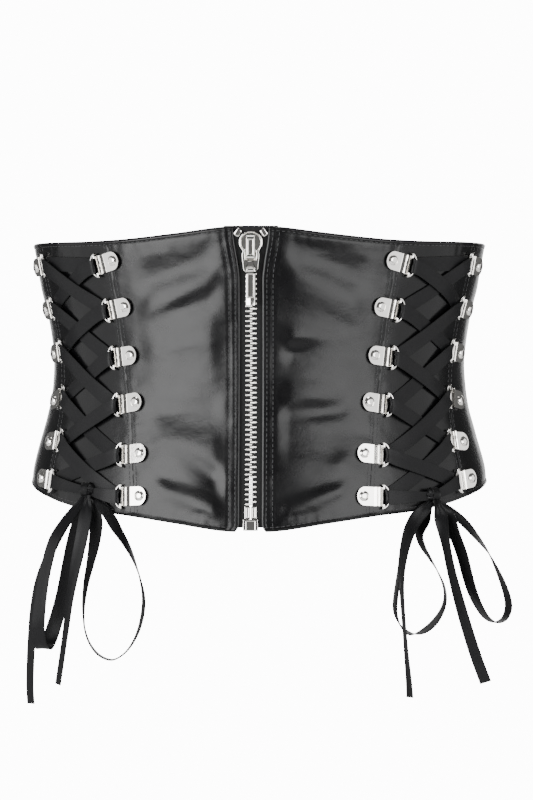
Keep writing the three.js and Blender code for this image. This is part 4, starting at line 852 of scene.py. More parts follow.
class SewnPanel:
    def __init__(self, name, form, side, start, end, columns):
        self.name, self.form, self.side = name, form, side
        self.start, self.end, self.columns = start, end, columns

    def width(self, level):
        if self.form == "back":
            mean_radius = (WAIST_HALF_WIDTH + WAIST_HALF_DEPTH) / 2
            return np.radians(self.end(level) - self.start(level)) * mean_radius
        height = height_of(self.start(level), level)
        ends = place(self.end(level), height, LEATHER_OUT) - place(self.start(level), height, LEATHER_OUT)
        return np.linalg.norm(ends, axis=-1) / MM

    def lift(self, level, across, turn, height):
        width = self.width(level)
        from_top = top_edge(turn) - height
        from_foot = height + bottom_drop(turn)
        from_start, from_end = across * width, (1 - across) * width
        round_belt = np.radians(turn) * WAIST_HALF_WIDTH
        lift = sewn(from_top, round_belt, HEM_RAISED, HEM_ROLLED, PUCKER, seed=1)
        lift = lift + sewn(from_foot, round_belt, HEM_RAISED, HEM_ROLLED, SOFT_PUCKER, seed=5)
        lift = lift + seamed(from_end, height, PUCKER, seed=13)
        if self.form == "front":
            lift = lift + sewn(from_start, height, ZIP_HEM_RAISED, ZIP_HEM_ROLLED, SOFT_PUCKER, seed=9)
        else:
            lift = lift + seamed(from_start, height, PUCKER, seed=9)
        calm = smooth(np.minimum.reduce([from_top, from_foot, from_start, from_end]) / CALM_EDGE)
        if self.form == "front":
            lift = lift - SECOND_DIP * np.exp(-((from_start - SECOND_ROW) / SECOND_DIP_WIDTH) ** 2)
            lift = lift + fold_lift(self.side, across, level)
            slanted = height + 0.18 * self.side * round_belt
            return lift + calm * 0.25 * wrinkles(round_belt * 0.42 + self.side * 40, slanted, 17)
        if self.form == "side":
            return lift + calm * 0.12 * wrinkles(round_belt, height * 0.8, 14)
        return lift + calm * 0.22 * wrinkles(round_belt * 0.3, height, 16)

    def surface(self, level, across):
        turn = mix(self.start(level), self.end(level), across)
        height = height_of(turn, level)
        lift = LEATHER_OUT + self.lift(level, across, turn, height)
        return place(turn, height, lift), turn, height

    def lines(self):
        """Pairs of level and across along each stitch line."""
        steps = np.linspace(0, 1, 260 if self.form == "back" else 120)
        inside = mix(0.012, 0.988, steps)
        turn = mix(self.start(steps * 0 + 1), self.end(steps * 0 + 1), inside)
        lines = [(1 - STITCH_IN / top_edge(turn), inside), (-1 + STITCH_IN / bottom_drop(turn), inside)]
        level = mix(-0.975, 0.965, steps)
        width = self.width(level)
        rows = (STITCH_IN, SECOND_ROW) if self.form == "front" else (STITCH_IN,)
        lines += [(level, distance / width) for distance in rows]
        return lines + [(level, 1 - STITCH_IN / width)]

    def build(self):
        level, across = np.meshgrid(np.linspace(-1, 1, FINE_ROWS + 1), np.linspace(0, 1, self.columns + 1),
                                    indexing="ij")
        points, turn, height = self.surface(level, across)
        uv = np.stack([np.radians(turn) * WAIST_HALF_WIDTH * MM, height * MM], axis=-1)
        if self.side < 0:
            points, uv = points[:, ::-1], uv[:, ::-1]
        panel = thicken(grid_mesh(f"leather_{self.name}", points, uv), LEATHER)
        rounded(panel, LEATHER_EDGE, 2, 50)
        finish(shade(panel, 60), leather)
        carry(panel, "belt", self.name)
        return self


SIDES = {"left": -1, "right": 1}
CLOSED = -0.38
sewn_panels = []
for side_name, side in SIDES.items():
    front = SewnPanel(f"front_panel_{side_name}", "front", side, zip_line(side),
                      seam_line(side, "front", -CLOSED), 62)
    beside = SewnPanel(f"side_panel_{side_name}", "side", side, seam_line(side, "front", CLOSED),
                       seam_line(side, "back", -CLOSED), 44)
    sewn_panels += [front.build(), beside.build()]
left_seam = seam_line(-1, "back", CLOSED)
back = SewnPanel("back_panel", "back", 1, seam_line(1, "back", CLOSED),
                 lambda level: 360 + left_seam(level), 170)
sewn_panels.append(back.build())


# %% [markdown]
# The helpers of this cell are the hand moves of edit mode, in millimetres. `select_where` selects vertices,
# edges or faces by where their corners are, `pull` extrudes what is selected, `cut_across` cuts it by a
# plane and `recess` presses a hollow into a face. A flat piece with an outline starts as a round plate whose
# corners are then moved to the outline, and `set_in` puts a finished model in its place on the belt.

# %% Edit mode helpers
NEAR = 0.01


def edit(piece, kind="VERT"):
    choose(piece)
    bpy.ops.object.mode_set(mode="EDIT")
    bpy.ops.mesh.select_mode(type=kind)
    bpy.ops.mesh.select_all(action="SELECT")


def leave_edit():
    bpy.ops.object.mode_set(mode="OBJECT")


def select_where(piece, kind, test):
    mesh = bmesh.from_edit_mesh(piece.data)
    for part in [*mesh.verts, *mesh.edges, *mesh.faces]:
        part.select_set(False)
    for part in getattr(mesh, kind):
        corners = [part] if kind == "verts" else part.verts
        if all(test(corner.co / MM) for corner in corners):
            part.select_set(True)
    bmesh.update_edit_mesh(piece.data)


def pull(x, y, z):
    bpy.ops.mesh.extrude_region_move(TRANSFORM_OT_translate={"value": (x * MM, y * MM, z * MM)})


def cut_across(axis, at, **settings):
    """Cuts what is selected by a plane that an axis goes through at a distance."""
    normal = Vector([name == axis for name in "xyz"])
    bpy.ops.mesh.bisect(plane_co=normal * at * MM, plane_no=normal, **settings)


def outward_faces(piece):
    edit(piece)
    bpy.ops.mesh.remove_doubles(threshold=0.002 * MM)
    bpy.ops.mesh.normals_make_consistent(inside=False)
    leave_edit()
    return piece


def joined(name, *pieces):
    deselect()
    for piece in pieces:
        piece.select_set(True)
    bpy.context.view_layer.objects.active = pieces[0]
    bpy.ops.object.join()
    return named(name)


def seated(name, model, matrix):
    """A copy of a model with its own mesh, placed by a matrix that goes into the mesh."""
    mesh = model.data.copy()
    mesh.name = name
    mesh.transform(Matrix(np.array(matrix).tolist()))
    return in_scene(name, mesh)


def set_in(name, model, matrix, node, body="belt"):
    carry(seated(name, model, matrix), body, node)
    remove(model)


def outlined(name, outline, front, back, corner=0.0):
    """A flat piece: across and up from an outline, between two lifts, with rounded corners."""
    deselect()
    bpy.ops.mesh.primitive_circle_add(vertices=len(outline), radius=MM, fill_type="NGON")
    piece = named(name)
    for vertex, (across, up) in zip(piece.data.vertices, outline):
        vertex.co = (across * MM, -front * MM, up * MM)
    edit(piece)
    if corner:
        bpy.ops.mesh.bevel(offset=corner * MM, segments=3, affect="VERTICES")
    bpy.ops.mesh.select_all(action="SELECT")
    pull(0, front - back, 0)
    leave_edit()
    return outward_faces(piece)


def press(*steps):
    """Draws the selected face in by insets, each a pair of width and depth."""
    for width, depth in steps:
        bpy.ops.mesh.inset(thickness=width * MM, depth=depth * MM)


def recess(piece, rim, depth, front):
    edit(piece, "FACE")
    select_where(piece, "faces", lambda at: abs(at.y + front) < NEAR)
    press((rim, 0), (depth * 0.6, -depth))
    leave_edit()


def block(name, across, lift, up):
    """A block between pairs of limits: across, lift and up."""
    deselect()
    limits = np.array([across, lift, up], float)
    middle = limits.mean(axis=1) * (1, -1, 1) * MM
    bpy.ops.mesh.primitive_cube_add(size=1, location=middle)
    piece = named(name)
    piece.scale = (limits[:, 1] - limits[:, 0]) * MM
    return rest_place(piece)


def rod(name, sides, radius, length, up=0.0, ends="NGON"):
    """A round bar that lies across the belt, or an open tube."""
    deselect()
    bpy.ops.mesh.primitive_cylinder_add(vertices=sides, radius=radius * MM, depth=length * MM,
                                        location=(0, 0, up * MM), rotation=(0, math.pi / 2, 0),
                                        end_fill_type=ends)
    return rest_place(named(name))


def cut_away(piece, cutter):
    cut = piece.modifiers.new("cut", "BOOLEAN")
    cut.object = cutter
    cut.operation = "DIFFERENCE"
    apply_modifiers(piece)
    remove(cutter)


def polished(piece, angle=40):
    """The metal's finish, with smooth shading that keeps large faces flat, as pressed and cast metal is."""
    shade(piece, angle)
    even = piece.modifiers.new("flat faces", "WEIGHTED_NORMAL")
    even.keep_sharp = True
    return finish(apply_modifiers(piece), nickel)


print("edit mode helpers ready")


# %% [markdown]
# A lacing fitting is a strip of steel folded round the straight bar of a D-ring and riveted through the
# leather. The plate starts as a round disc. Half of it is cut away, and the cut edge is pulled out step by
# step: the flat, a small step down, the slope, and a spin round the bar. The sheet then gets its thickness
# and rounded rims, which carry the bright lines seen on pressed metal.

# %% Folded plate
PLATE_WIDTH = 11.4
PLATE_FLAT = 10.6
PLATE_SLOPE = 4.4
PLATE_THICK = 1.2
PLATE_SHEET = 1.05
PLATE_RIM = 0.34
RING_WIRE = 1.2
RING_TALL = 15.6
RING_REACH = 6.8
RING_LIFT = 2.2

PLATE_TOP = LEATHER_OUT + SEAT + PLATE_THICK
RING_CENTRE = LEATHER_OUT + RING_LIFT
BAR_REACH = -(RING_REACH - RING_WIRE) / 2
TIP_REACH = BAR_REACH - PLATE_SLOPE - PLATE_FLAT
TIP_LENGTH = PLATE_FLAT * 0.48
TIP_END = TIP_REACH + TIP_LENGTH
BARREL = RING_WIRE / 2 + 0.62
BARREL_START = math.radians(123)
BARREL_TURN = math.radians(230)
STEP_DOWN = 0.55
HOLD = 0.4

deselect()
bpy.ops.mesh.primitive_circle_add(vertices=48, radius=PLATE_WIDTH / 2 * MM, fill_type="NGON",
                                  location=(TIP_END * MM, 0, PLATE_TOP * MM))
plate = named("fitting_plate")
plate.scale = (TIP_LENGTH / (PLATE_WIDTH / 2), 1, 1)
rest_place(plate)
edit(plate, "EDGE")
cut_across("x", TIP_END, clear_outer=True)
select_where(plate, "edges", lambda at: at.x > TIP_END - NEAR)
pull(PLATE_FLAT - TIP_LENGTH - HOLD, 0, 0)
pull(HOLD, 0, 0)
pull(STEP_DOWN, 0, -STEP_DOWN)
slope_long = PLATE_SLOPE - STEP_DOWN + BARREL * math.cos(BARREL_START)
slope_rise = RING_CENTRE + BARREL * math.sin(BARREL_START) - (PLATE_TOP - STEP_DOWN)
for share in (0.1, 0.8, 0.1):
    pull(slope_long * share, 0, slope_rise * share)
bpy.ops.mesh.spin(steps=10, angle=BARREL_TURN, center=(BAR_REACH * MM, 0, RING_CENTRE * MM), axis=(0, 1, 0))
leave_edit()
outward_faces(plate)
rounded(thicken(plate, PLATE_SHEET), PLATE_RIM, 3, 44)
print("plate", round(plate.dimensions.x / MM, 2), "mm long")

# %% [markdown]
# The rivet's head is a low dome with a steep rim, so that a bright crescent lies on the dome and a thin dark
# line runs round it. A disc's top face is drawn in and raised ring by ring.

# %% Rivet
RIVET = 6.24
RIVET_BASE = 1.2
RIVET_SUNK = 0.15
RIVET_REACH = TIP_REACH + 4.45
DOME_STEPS = ((0.55, 0.43), (0.4, 0.27), (0.5, 0.16), (0.8, 0.08))
deselect()
bpy.ops.mesh.primitive_cylinder_add(vertices=32, radius=RIVET / 2 * MM, depth=RIVET_BASE * MM,
                                    location=(RIVET_REACH * MM, 0, (PLATE_TOP - RIVET_SUNK) * MM))
rivet = rest_place(named("fitting_rivet"))
edit(rivet, "FACE")
rivet_top = PLATE_TOP - RIVET_SUNK + RIVET_BASE / 2
select_where(rivet, "faces", lambda at: at.z > rivet_top - NEAR)
press(*DOME_STEPS)
leave_edit()
outward_faces(rivet)
print("rivet", RIVET, "mm across")

# %% [markdown]
# The D-ring is round wire: a flat arc and a straight bar with two tight corners. Half a torus gives the
# arc. It is squeezed towards the bar, but its wire stays as thick, so only the centre line is moved. Each
# open end is then spun round a corner and pulled out to half of the bar.

# %% Ring
RING_HALF = (RING_TALL - RING_WIRE) / 2
ARC_REACH = RING_REACH - RING_WIRE
ARC_SHARE = 0.86
CORNER = 1.2
deselect()
bpy.ops.mesh.primitive_torus_add(major_segments=48, minor_segments=10, major_radius=RING_HALF * MM,
                                 minor_radius=RING_WIRE / 2 * MM)
ring = named("fitting_ring")
edit(ring)
bpy.ops.mesh.bisect(plane_co=(0, 0, 0), plane_no=(-1, 0, 0), clear_outer=True)
mesh = bmesh.from_edit_mesh(ring.data)
for vertex in mesh.verts:
    middle = Vector((vertex.co.x, vertex.co.y, 0)).normalized() * RING_HALF * MM
    vertex.co.x += middle.x * (ARC_REACH * ARC_SHARE / RING_HALF - 1)
bmesh.update_edit_mesh(ring.data)
for sign in (-1, 1):
    select_where(ring, "edges", lambda at: at.x < NEAR and at.y * sign > 0)
    bpy.ops.mesh.spin(steps=4, angle=sign * math.pi / 2, axis=(0, 0, 1),
                      center=(0, sign * (RING_HALF - CORNER) * MM, 0))
    pull(0, -sign * (RING_HALF - CORNER - PLATE_WIDTH / 2 + 1.0), 0)
leave_edit()
ring.location = ((BAR_REACH + CORNER) * MM, 0, RING_CENTRE * MM)
outward_faces(rest_place(ring))
print("ring", round(ring.dimensions.y / MM, 2), "mm tall")
fitting = polished(joined("fitting_model", plate, rivet, ring))
print("one fitting has", len(fitting.data.polygons), "faces")


# %% [markdown]
# Twenty-four fittings sit in four columns. Each one's frame points towards its ring, along its column and
# out of the belt, and the model is copied into it with a mesh of its own.

# %% Fittings in their columns
LAST_ROW = len(RING_ROWS) - 1


def matrix_of(*columns):
    """A matrix from three directions and a place."""
    matrix = np.eye(4)
    matrix[:3] = np.stack(columns, axis=1)
    return matrix


def ring_place(row, column):
    turn, level = (getattr(RING_ROWS[row], f"{column}_{what}") for what in ("turn", "level"))
    return turn, float(height_of(turn, level))


def fitting_frame(side, column, row):
    above_turn, above = ring_place(max(0, row - 1), column)
    below_turn, below = ring_place(min(LAST_ROW, row + 1), column)
    turn, height = ring_place(row, column)
    out = outwards(side * turn, height)
    lean = place(side * above_turn, above, 0) - place(side * below_turn, below, 0)
    towards = np.cross(unit(lean - out * (lean @ out)), out)
    if towards[0] * side * (1 if column == "front" else -1) < 0:
        towards = -towards
    return matrix_of(towards, np.cross(out, towards), out, place(side * turn, height, 0))


for side_name, side in SIDES.items():
    for column in ("front", "back"):
        for row in range(LAST_ROW + 1):
            at = f"{side_name}_{column}_{row + 1}"
            piece = seated(f"nickel_fitting_{at}", fitting, fitting_frame(side, column, row))
            carry(piece, "belt", f"lacing_ring_{at}")
remove(fitting)
print("fittings placed:", 4 * len(RING_ROWS))


# %% [markdown]
# One ribbon laces each side. It starts in the knot, climbs through a ring of every row, crosses at the top
# and comes down through the other rings. Through each ring it goes under the wire and folds back over it.
# The route is worked out ring by ring, and a smooth line through it carries the strip.

# %% Lacing ribbons
UNDER_LIFT = LEATHER_OUT + SEAT + RIBBON / 2
OVER_LIFT = 2 * RING_CENTRE - UNDER_LIFT
WRAP_RADIUS = (OVER_LIFT - UNDER_LIFT) / 2
WRAP_SHARE = math.sqrt(1 - (RIBBON_WIDTH / 2 / RING_HALF) ** 2)
WRAP_REACH = BAR_REACH + ARC_REACH * (1 - ARC_SHARE + ARC_SHARE * WRAP_SHARE)
WRAP_ANGLES = np.radians((-62, -31, 0, 31, 62))
WRAP_HALF = RIBBON_WIDTH / 2 * 0.94
CROSSING_LIFT = UNDER_LIFT + RIBBON + 0.8
STRAND_SHARES = np.linspace(0.12, 0.88, 13)
FROM_KNOT, TO_KNOT = np.linspace(0.06, 0.86, 12), np.linspace(0.14, 0.94, 12)
LACING_RIPPLE, LACING_WAVE = 0.12, 9.0
LOOK_AHEAD = 0.02

Station = namedtuple("Station", "centre wide half")


def wrap_stations(frame):
    stations = []
    for angle in WRAP_ANGLES:
        reach = WRAP_REACH - WRAP_RADIUS * math.cos(angle)
        local = np.array([reach, 0, RING_CENTRE + WRAP_RADIUS * math.sin(angle)]) * MM
        stations.append(Station(frame[:3, :3] @ local + frame[:3, 3], frame[:3, 1], WRAP_HALF))
    return stations


def wrap_place(side, column, row):
    turn, height = ring_place(row, column)
    onward = WRAP_REACH if column == "front" else -WRAP_REACH
    return side * float(turn_after(turn, height, onward)), height


def strand_stations(start, end, lifts, shares, halves=(1, 1)):
    def at(share):
        turn, height = mix(start[0], end[0], share), mix(start[1], end[1], share)
        first = mix(lifts[0], lifts[1], smooth(share * 2))
        second = mix(lifts[1], lifts[2], smooth(share * 2 - 1))
        return place(turn, height, first if share < 0.5 else second), outwards(turn, height)
    stations = []
    for share in shares:
        point, out = at(share)
        along = at(min(1, share + LOOK_AHEAD))[0] - at(max(0, share - LOOK_AHEAD))[0]
        half = RIBBON_WIDTH / 2 * mix(*halves, share)
        stations.append(Station(point, unit(np.cross(out, along)), half))
    return stations


def lacing_order(first_column):
    columns = ["back", "front"] if first_column == "back" else ["front", "back"]
    climb = [(row, columns[row % 2], True) for row in range(LAST_ROW, -1, -1)]
    return climb + [(row, columns[(row + 1) % 2], False) for row in range(LAST_ROW + 1)]


def lacing_stations(side_name, first_column):
    side = SIDES[side_name]
    knot_turn, knot_level = KNOT_PLACES[side_name]
    knot_spot = (knot_turn, float(height_of(knot_turn, knot_level)))
    knot_lift = LEATHER_OUT + KNOT_LIFT
    order = lacing_order(first_column)
    spots = [wrap_place(side, column, row) for row, column, over in order]
    stations = strand_stations(knot_spot, spots[0], (knot_lift, knot_lift, OVER_LIFT), FROM_KNOT, (0.5, 1))
    for index, (row, column, over) in enumerate(order):
        turned = wrap_stations(fitting_frame(side, column, row))
        stations += turned[::-1] if over else turned
        if index + 1 == len(order):
            break
        next_over = order[index + 1][2]
        lifts = (UNDER_LIFT, UNDER_LIFT, UNDER_LIFT)
        if over and next_over:
            lifts = (UNDER_LIFT, CROSSING_LIFT, OVER_LIFT)
        if not over and not next_over:
            lifts = (OVER_LIFT, UNDER_LIFT, UNDER_LIFT)
        stations += strand_stations(spots[index], spots[index + 1], lifts, STRAND_SHARES)
    into_knot = (OVER_LIFT, knot_lift, knot_lift)
    return stations + strand_stations(spots[-1], knot_spot, into_knot, TO_KNOT, (1, 0.5))


def lacing_ribbon(side_name, first_column):
    centres, wides, halves = (np.array(rows) for rows in zip(*lacing_stations(side_name, first_column)))
    for index in range(1, len(wides)):
        if wides[index] @ wides[index - 1] < 0:
            wides[index] = -wides[index]
    along = walked(centres)
    even = np.linspace(0, along[-1], int(along[-1] / MM / RIBBON_STEP))
    line = resampled(centres, along, even)
    for _ in range(2):
        line[1:-1] = (line[:-2] + 2 * line[1:-1] + line[2:]) / 4
    ripple = LACING_RIPPLE * np.sin(even / MM / LACING_WAVE + 2 * SIDES[side_name]) + 0.06
    piece = strip(f"satin_lacing_{side_name}", line, resampled(wides, along, even),
                  np.interp(even, along, halves), np.full_like(even, 0.04), ripple)
    carry(finish(piece, satin), "belt", f"lacing_ribbon_{side_name}")
    print(piece.name, "is", round(along[-1] / MM), "mm long between the knot's two sides")


lacing_ribbon("left", "back")
lacing_ribbon("right", "front")


# %% [markdown]
# The knot is the ribbon's satin drawn tight. Its core is a round cushion with creases that run towards its
# middle, and one turn of ribbon wraps it from top to bottom. Both start as primitives: a sphere whose
# surface is creased in code, and a short open tube whose edges are pulled in.

# %% Knots
KNOT_SIZE = np.array([10.5, 7.2, 8.4])
KNOT_BAND = 5.6
KNOT_ROOM = 0.25
KNOT_CLOTH = RIBBON * 0.7
KNOT_UV = (26, 12)


def surface_frame(turn, height):
    """Matrix with across, into the belt and up as its columns, at the belt's inner face."""
    out = outwards(turn, height)
    across = unit(np.cross([0, 0, 1], out))
    return matrix_of(across, -out, np.cross(across, -out), place(turn, height, 0))


def knot_core():
    deselect()
    bpy.ops.mesh.primitive_uv_sphere_add(segments=64, ring_count=32, radius=1)
    core = named("knot_core")
    for vertex in core.data.vertices:
        x, y, z = vertex.co
        crease = 0.07 * math.sin(9 * math.atan2(z, x + 0.01) + 4 * y) * (1 - z * z)
        pinch = 1 - 0.16 * math.exp(-(x / 0.35) ** 2)
        vertex.co = np.array((x, y, z)) * KNOT_SIZE / 2 * (1 + crease) * pinch * MM
    return core


def knot_band():
    band = rod("knot_band", 48, 1 / MM, 1 / MM, ends="NOTHING")
    edit(band, "EDGE")
    for cut in (-0.3, -0.1, 0.1, 0.3):
        cut_across("x", cut / MM)
        bpy.ops.mesh.select_all(action="SELECT")
    leave_edit()
    half = KNOT_SIZE / 2 + KNOT_ROOM
    for vertex in band.data.vertices:
        x, y, z = vertex.co
        fold = 1 + 0.05 * math.cos(x * 2 * math.pi * 2.2) + 0.03 * math.sin(3 * math.atan2(z, y) + 8 * x)
        draw = KNOT_BAND * (1 - 0.5 * x * x)
        vertex.co = (x * draw * MM, y * half[1] * fold * MM, z * half[2] * fold * MM)
    return thicken(band, KNOT_CLOTH)


for side_name in SIDES:
    core, band = knot_core(), knot_band()
    for part in (core, band):
        part.data.uv_layers[0].name = "surface"
    model = shade(joined("knot_model", core, band), 60)
    for corner in model.data.uv_layers["surface"].data:
        corner.uv = [share * size * MM for share, size in zip(corner.uv, KNOT_UV)]
    turn, level = KNOT_PLACES[side_name]
    lifted = surface_frame(turn, float(height_of(turn, level))) @ np.array(
        Matrix.Translation((0, -(LEATHER_OUT + KNOT_LIFT) * MM, 0)))
    piece = finish(seated(f"satin_knot_{side_name}", model, lifted), satin)
    remove(model)
    carry(piece, "belt", f"{side_name}_bow_knot")
print("knots tied:", len(SIDES))


# %% [markdown]
# The zip's two tapes are woven strips, sewn behind the leather. Each runs from a corded bead, which the
# teeth are clamped on, to its outer edge under the panel. A tape is a fine grid with the bead as a swell.

# %% Zip tapes
TAPE_WIDTH = 12.5
TOOTH_PITCH = 3.0
TOOTH_TALL = 1.2
TOOTH_TAIL = 3.6
TOOTH_THICK = 2.4
TAPE_INNER = TOOTH_TAIL + GAP
TAPE_OUTER = TAPE_INNER + TAPE_WIDTH
BEAD_EDGE = 0.8
BEAD_PLACE = 1.9
BEAD_SWELL = 0.55
TAPE_RIB = 0.05
RIB_PITCH = 1.6
CLOSED_ABOVE = 68.0
TAPE_WALL = TAPE - 0.1
TAPE_TOP = TOP_FRONT
TAPE_FOOT = -DROP_FRONT + 3

for side_name, side in SIDES.items():
    height, share = np.meshgrid(np.linspace(TAPE_FOOT, TAPE_TOP, 90), np.linspace(0, 1, 40), indexing="ij")
    inner = BEAD_EDGE * (1 - 1.15 * smooth((height - CLOSED_ABOVE) / 5))
    across = mix(inner, TAPE_OUTER, share)
    bead = BEAD_SWELL * np.exp(-((across - BEAD_PLACE) / 0.9) ** 2)
    rib = TAPE_RIB * np.sin(across * 2 * math.pi / RIB_PITCH) * (across > 5)
    points = place(turn_after(0.0, height, side * across), height, TAPE_WALL + bead + rib)
    uv = np.stack([across, height], axis=-1) * MM
    tape = thicken(grid_mesh(f"woven_tape_{side_name}", points[:, ::side], uv[:, ::side]), TAPE_WALL)
    carry(finish(shade(tape, 50), woven), "belt", f"zip_tape_{side_name}")
print("tapes", TAPE_WIDTH, "mm wide")


# %% [markdown]
# A metal tooth is a small bar with a head that locks between its neighbours. It is modelled once: a short
# rod is pulled out towards the middle of the zip step by step, narrowed at its waist and at its head. A row
# of teeth is that one shape, copied every three millimetres.

# %% Teeth
BOX_WIDTH = 8.7
BOX_TALL = 6.7
PIN_TALL = 7.6
SLIDER_WIDTH = 14.0
SLIDER_TALL = 18.0
SLIDER_MIDDLE = TOP_FRONT - 12.2
BOX_TOP = -DROP_FRONT + 1 + BOX_TALL
TEETH_FOOT = BOX_TOP + PIN_TALL + 3 * GAP
TEETH_TOP = SLIDER_MIDDLE + SLIDER_TALL * 0.12
TOOTH_BODY = (2.65, 3.3)
TOOTH_STEPS = ((0.6, 0.82), (0.95, 1.22), (0.3, 0.85), (1.3, 0.95), (0.15, 0.7))
OTHER_WAY = np.diag([-1.0, 1, 1, 1])

tooth = rod("tooth_model", 10, 0.5, TOOTH_BODY[1] - TOOTH_BODY[0])
tooth.location = (sum(TOOTH_BODY) / 2 * MM, -TAPE / 2 * MM, (TOOTH_TALL / 2 + 0.05) * MM)
tooth.scale = (1, TOOTH_THICK + 0.2, TOOTH_TALL + 0.4)
rest_place(tooth)
edit(tooth, "FACE")
select_where(tooth, "faces", lambda at: at.x > TOOTH_BODY[1] - NEAR)
pull(TOOTH_TAIL - TOOTH_BODY[1], 0, 0)
bpy.ops.transform.resize(value=(1, 0.8, 0.66))
tooth_edge = TOOTH_BODY[0]
for length, thin in TOOTH_STEPS:
    select_where(tooth, "faces", lambda at: at.x < tooth_edge + NEAR)
    pull(-length, 0, 0)
    bpy.ops.transform.resize(value=(1, min(1, thin), thin))
    tooth_edge -= length
leave_edit()
outward_faces(tooth)
print("one tooth has", len(tooth.data.polygons), "faces")

for side_name, first in (("left", TEETH_FOOT), ("right", TEETH_FOOT + TOOTH_PITCH / 2)):
    frames = [surface_frame(0, height) for height in np.arange(first, TEETH_TOP - TOOTH_TALL, TOOTH_PITCH)]
    if side_name == "left":
        frames = [frame @ OTHER_WAY for frame in frames]
    row = outward_faces(copies(f"nickel_teeth_{side_name}", tooth, frames))
    carry(finish(row, nickel), "belt", f"zip_teeth_{side_name}")
    print(row.name, "has", len(frames), "teeth")
remove(tooth)


# %% [markdown]
# At the foot of the zip two pins stand in a box. The pins are small pressed channels, so a recess runs down
# each. The box is a folded block, and a wide bare channel is cut down its face to its open foot.

# %% Pins and box
TAPE_MIDDLE = TAPE / 2
ZIP_BACK, ZIP_FRONT = TAPE_MIDDLE - TOOTH_THICK / 2, TAPE_MIDDLE + TOOTH_THICK / 2
low_frame = surface_frame(0, BOX_TOP)
for side_name, across in (("left", (-TOOTH_TAIL, -GAP / 2)), ("right", (GAP / 2, TOOTH_TAIL))):
    pin = block("pin_model", across, (ZIP_BACK, ZIP_FRONT), (GAP, GAP + PIN_TALL))
    recess(pin, 0.85, 0.4, ZIP_FRONT)
    rounded(pin, 0.22)
    set_in(f"nickel_pin_{side_name}", polished(pin), low_frame, f"zip_pin_{side_name}")

BOX_FRONT = TAPE + GAP
BOX_FACE = BOX_FRONT + 1.9
BOX_FLARE = 1.04
CHANNEL_HALF = 2.75
CHANNEL_DEEP = 0.55
CHANNEL_TOP = -1.1
box_face = block("box_face", (-BOX_WIDTH / 2, BOX_WIDTH / 2), (BOX_FRONT, BOX_FACE), (-BOX_TALL, 0))
edit(box_face, "FACE")
select_where(box_face, "faces", lambda at: at.z < -BOX_TALL + NEAR)
bpy.ops.transform.resize(value=(BOX_FLARE, 1, 1))
leave_edit()
channel_lift = (BOX_FACE - CHANNEL_DEEP, BOX_FACE + 1)
cut_away(box_face, block("channel_cutter", (-CHANNEL_HALF, CHANNEL_HALF), channel_lift,
                         (-BOX_TALL - 1, CHANNEL_TOP)))
rounded(box_face, 0.24)
box_core = block("box_core", (-TOOTH_TAIL, TOOTH_TAIL), (ZIP_BACK, BOX_FRONT + GAP), (-BOX_TALL, 0))
rounded(box_core, 0.3)
set_in("nickel_zip_box", polished(joined("box_model", box_face, box_core)), low_frame, "zip_box")
print("pins and box at", round(BOX_TOP, 1), "mm")


# %% [markdown]
# The slider is cast zinc, plated bright. Its front plate has a shield outline with a raised rim, two top
# stops sit beside its shoulders, and a bridge arches over its middle to hold the pull. The bridge is a bar
# whose two ends are pulled down to the plate, with a bare recess along its face.

# %% Slider
WING = 1.6
WING_FRONT = ZIP_FRONT + GAP + WING
WING_BACK = ZIP_BACK - GAP
WING_CORNER = 1.1
SLIDER_OUTLINE = [(0.27, 1), (0.72, 0.8), (1, 0.45), (1, 0.02), (0.72, -0.34), (0.6, -0.72), (0.42, -1)]
POST_HALF, POST_RISE = 1.8, (2.5, 7.9)
PULL_UP = -1.4
LINK_BAR = 1.6
PULL_LIFT = WING_FRONT + LINK_BAR
BRIDGE_HALF = 2.4
BRIDGE_UNDER = PULL_LIFT + 1.4
BRIDGE_FRONT = BRIDGE_UNDER + 1.2
BRIDGE_FOOT, BRIDGE_TOP = -7.6, 6.4
LINK_ROOM = 1.6
slider_frame = surface_frame(0, SLIDER_MIDDLE)


def both_sides(points):
    return points + [(-x, z) for x, z in reversed(points)]


shield = both_sides([(x * SLIDER_WIDTH / 2, z * SLIDER_TALL / 2) for x, z in SLIDER_OUTLINE])
front_wing = outlined("slider_front", shield, WING_FRONT, WING_FRONT - WING, WING_CORNER)
recess(front_wing, 0.6, 0.5, WING_FRONT)
rounded(front_wing, 0.2)
narrow_shield = [(x * 0.94, z) for x, z in shield]
back_wing = outlined("slider_back", narrow_shield, WING_BACK, WING_BACK - WING, WING_CORNER)
rounded(back_wing, 0.4)
post = block("slider_post", (-POST_HALF, POST_HALF), (WING_BACK - GAP, ZIP_FRONT + 2 * GAP), POST_RISE)

bridge = block("slider_bridge", (-BRIDGE_HALF, BRIDGE_HALF), (BRIDGE_UNDER, BRIDGE_FRONT),
               (BRIDGE_FOOT, BRIDGE_TOP))
edit(bridge, "FACE")
for cut in (PULL_UP - LINK_ROOM, PULL_UP + LINK_ROOM):
    bpy.ops.mesh.select_all(action="SELECT")
    cut_across("z", cut)
select_where(bridge, "faces",
             lambda at: at.y > -BRIDGE_UNDER - NEAR and abs(at.z - PULL_UP) > LINK_ROOM - 0.1)
pull(0, BRIDGE_UNDER - WING_FRONT + 0.5, 0)
for end in (BRIDGE_FOOT, BRIDGE_TOP):
    select_where(bridge, "edges", lambda at: abs(at.z - end) < NEAR and at.y < -BRIDGE_FRONT + NEAR)
    bpy.ops.mesh.bevel(offset=1.5 * MM, segments=4)
leave_edit()
recess(bridge, 0.75, 0.3, BRIDGE_FRONT)
rounded(bridge, 0.2, 2, 50)
slider = polished(joined("slider_model", front_wing, back_wing, post, bridge))
set_in("nickel_slider", slider, slider_frame, "zip_slider")
print("slider at", round(SLIDER_MIDDLE, 1), "mm, bridge", BRIDGE_TOP - BRIDGE_FOOT, "mm tall")

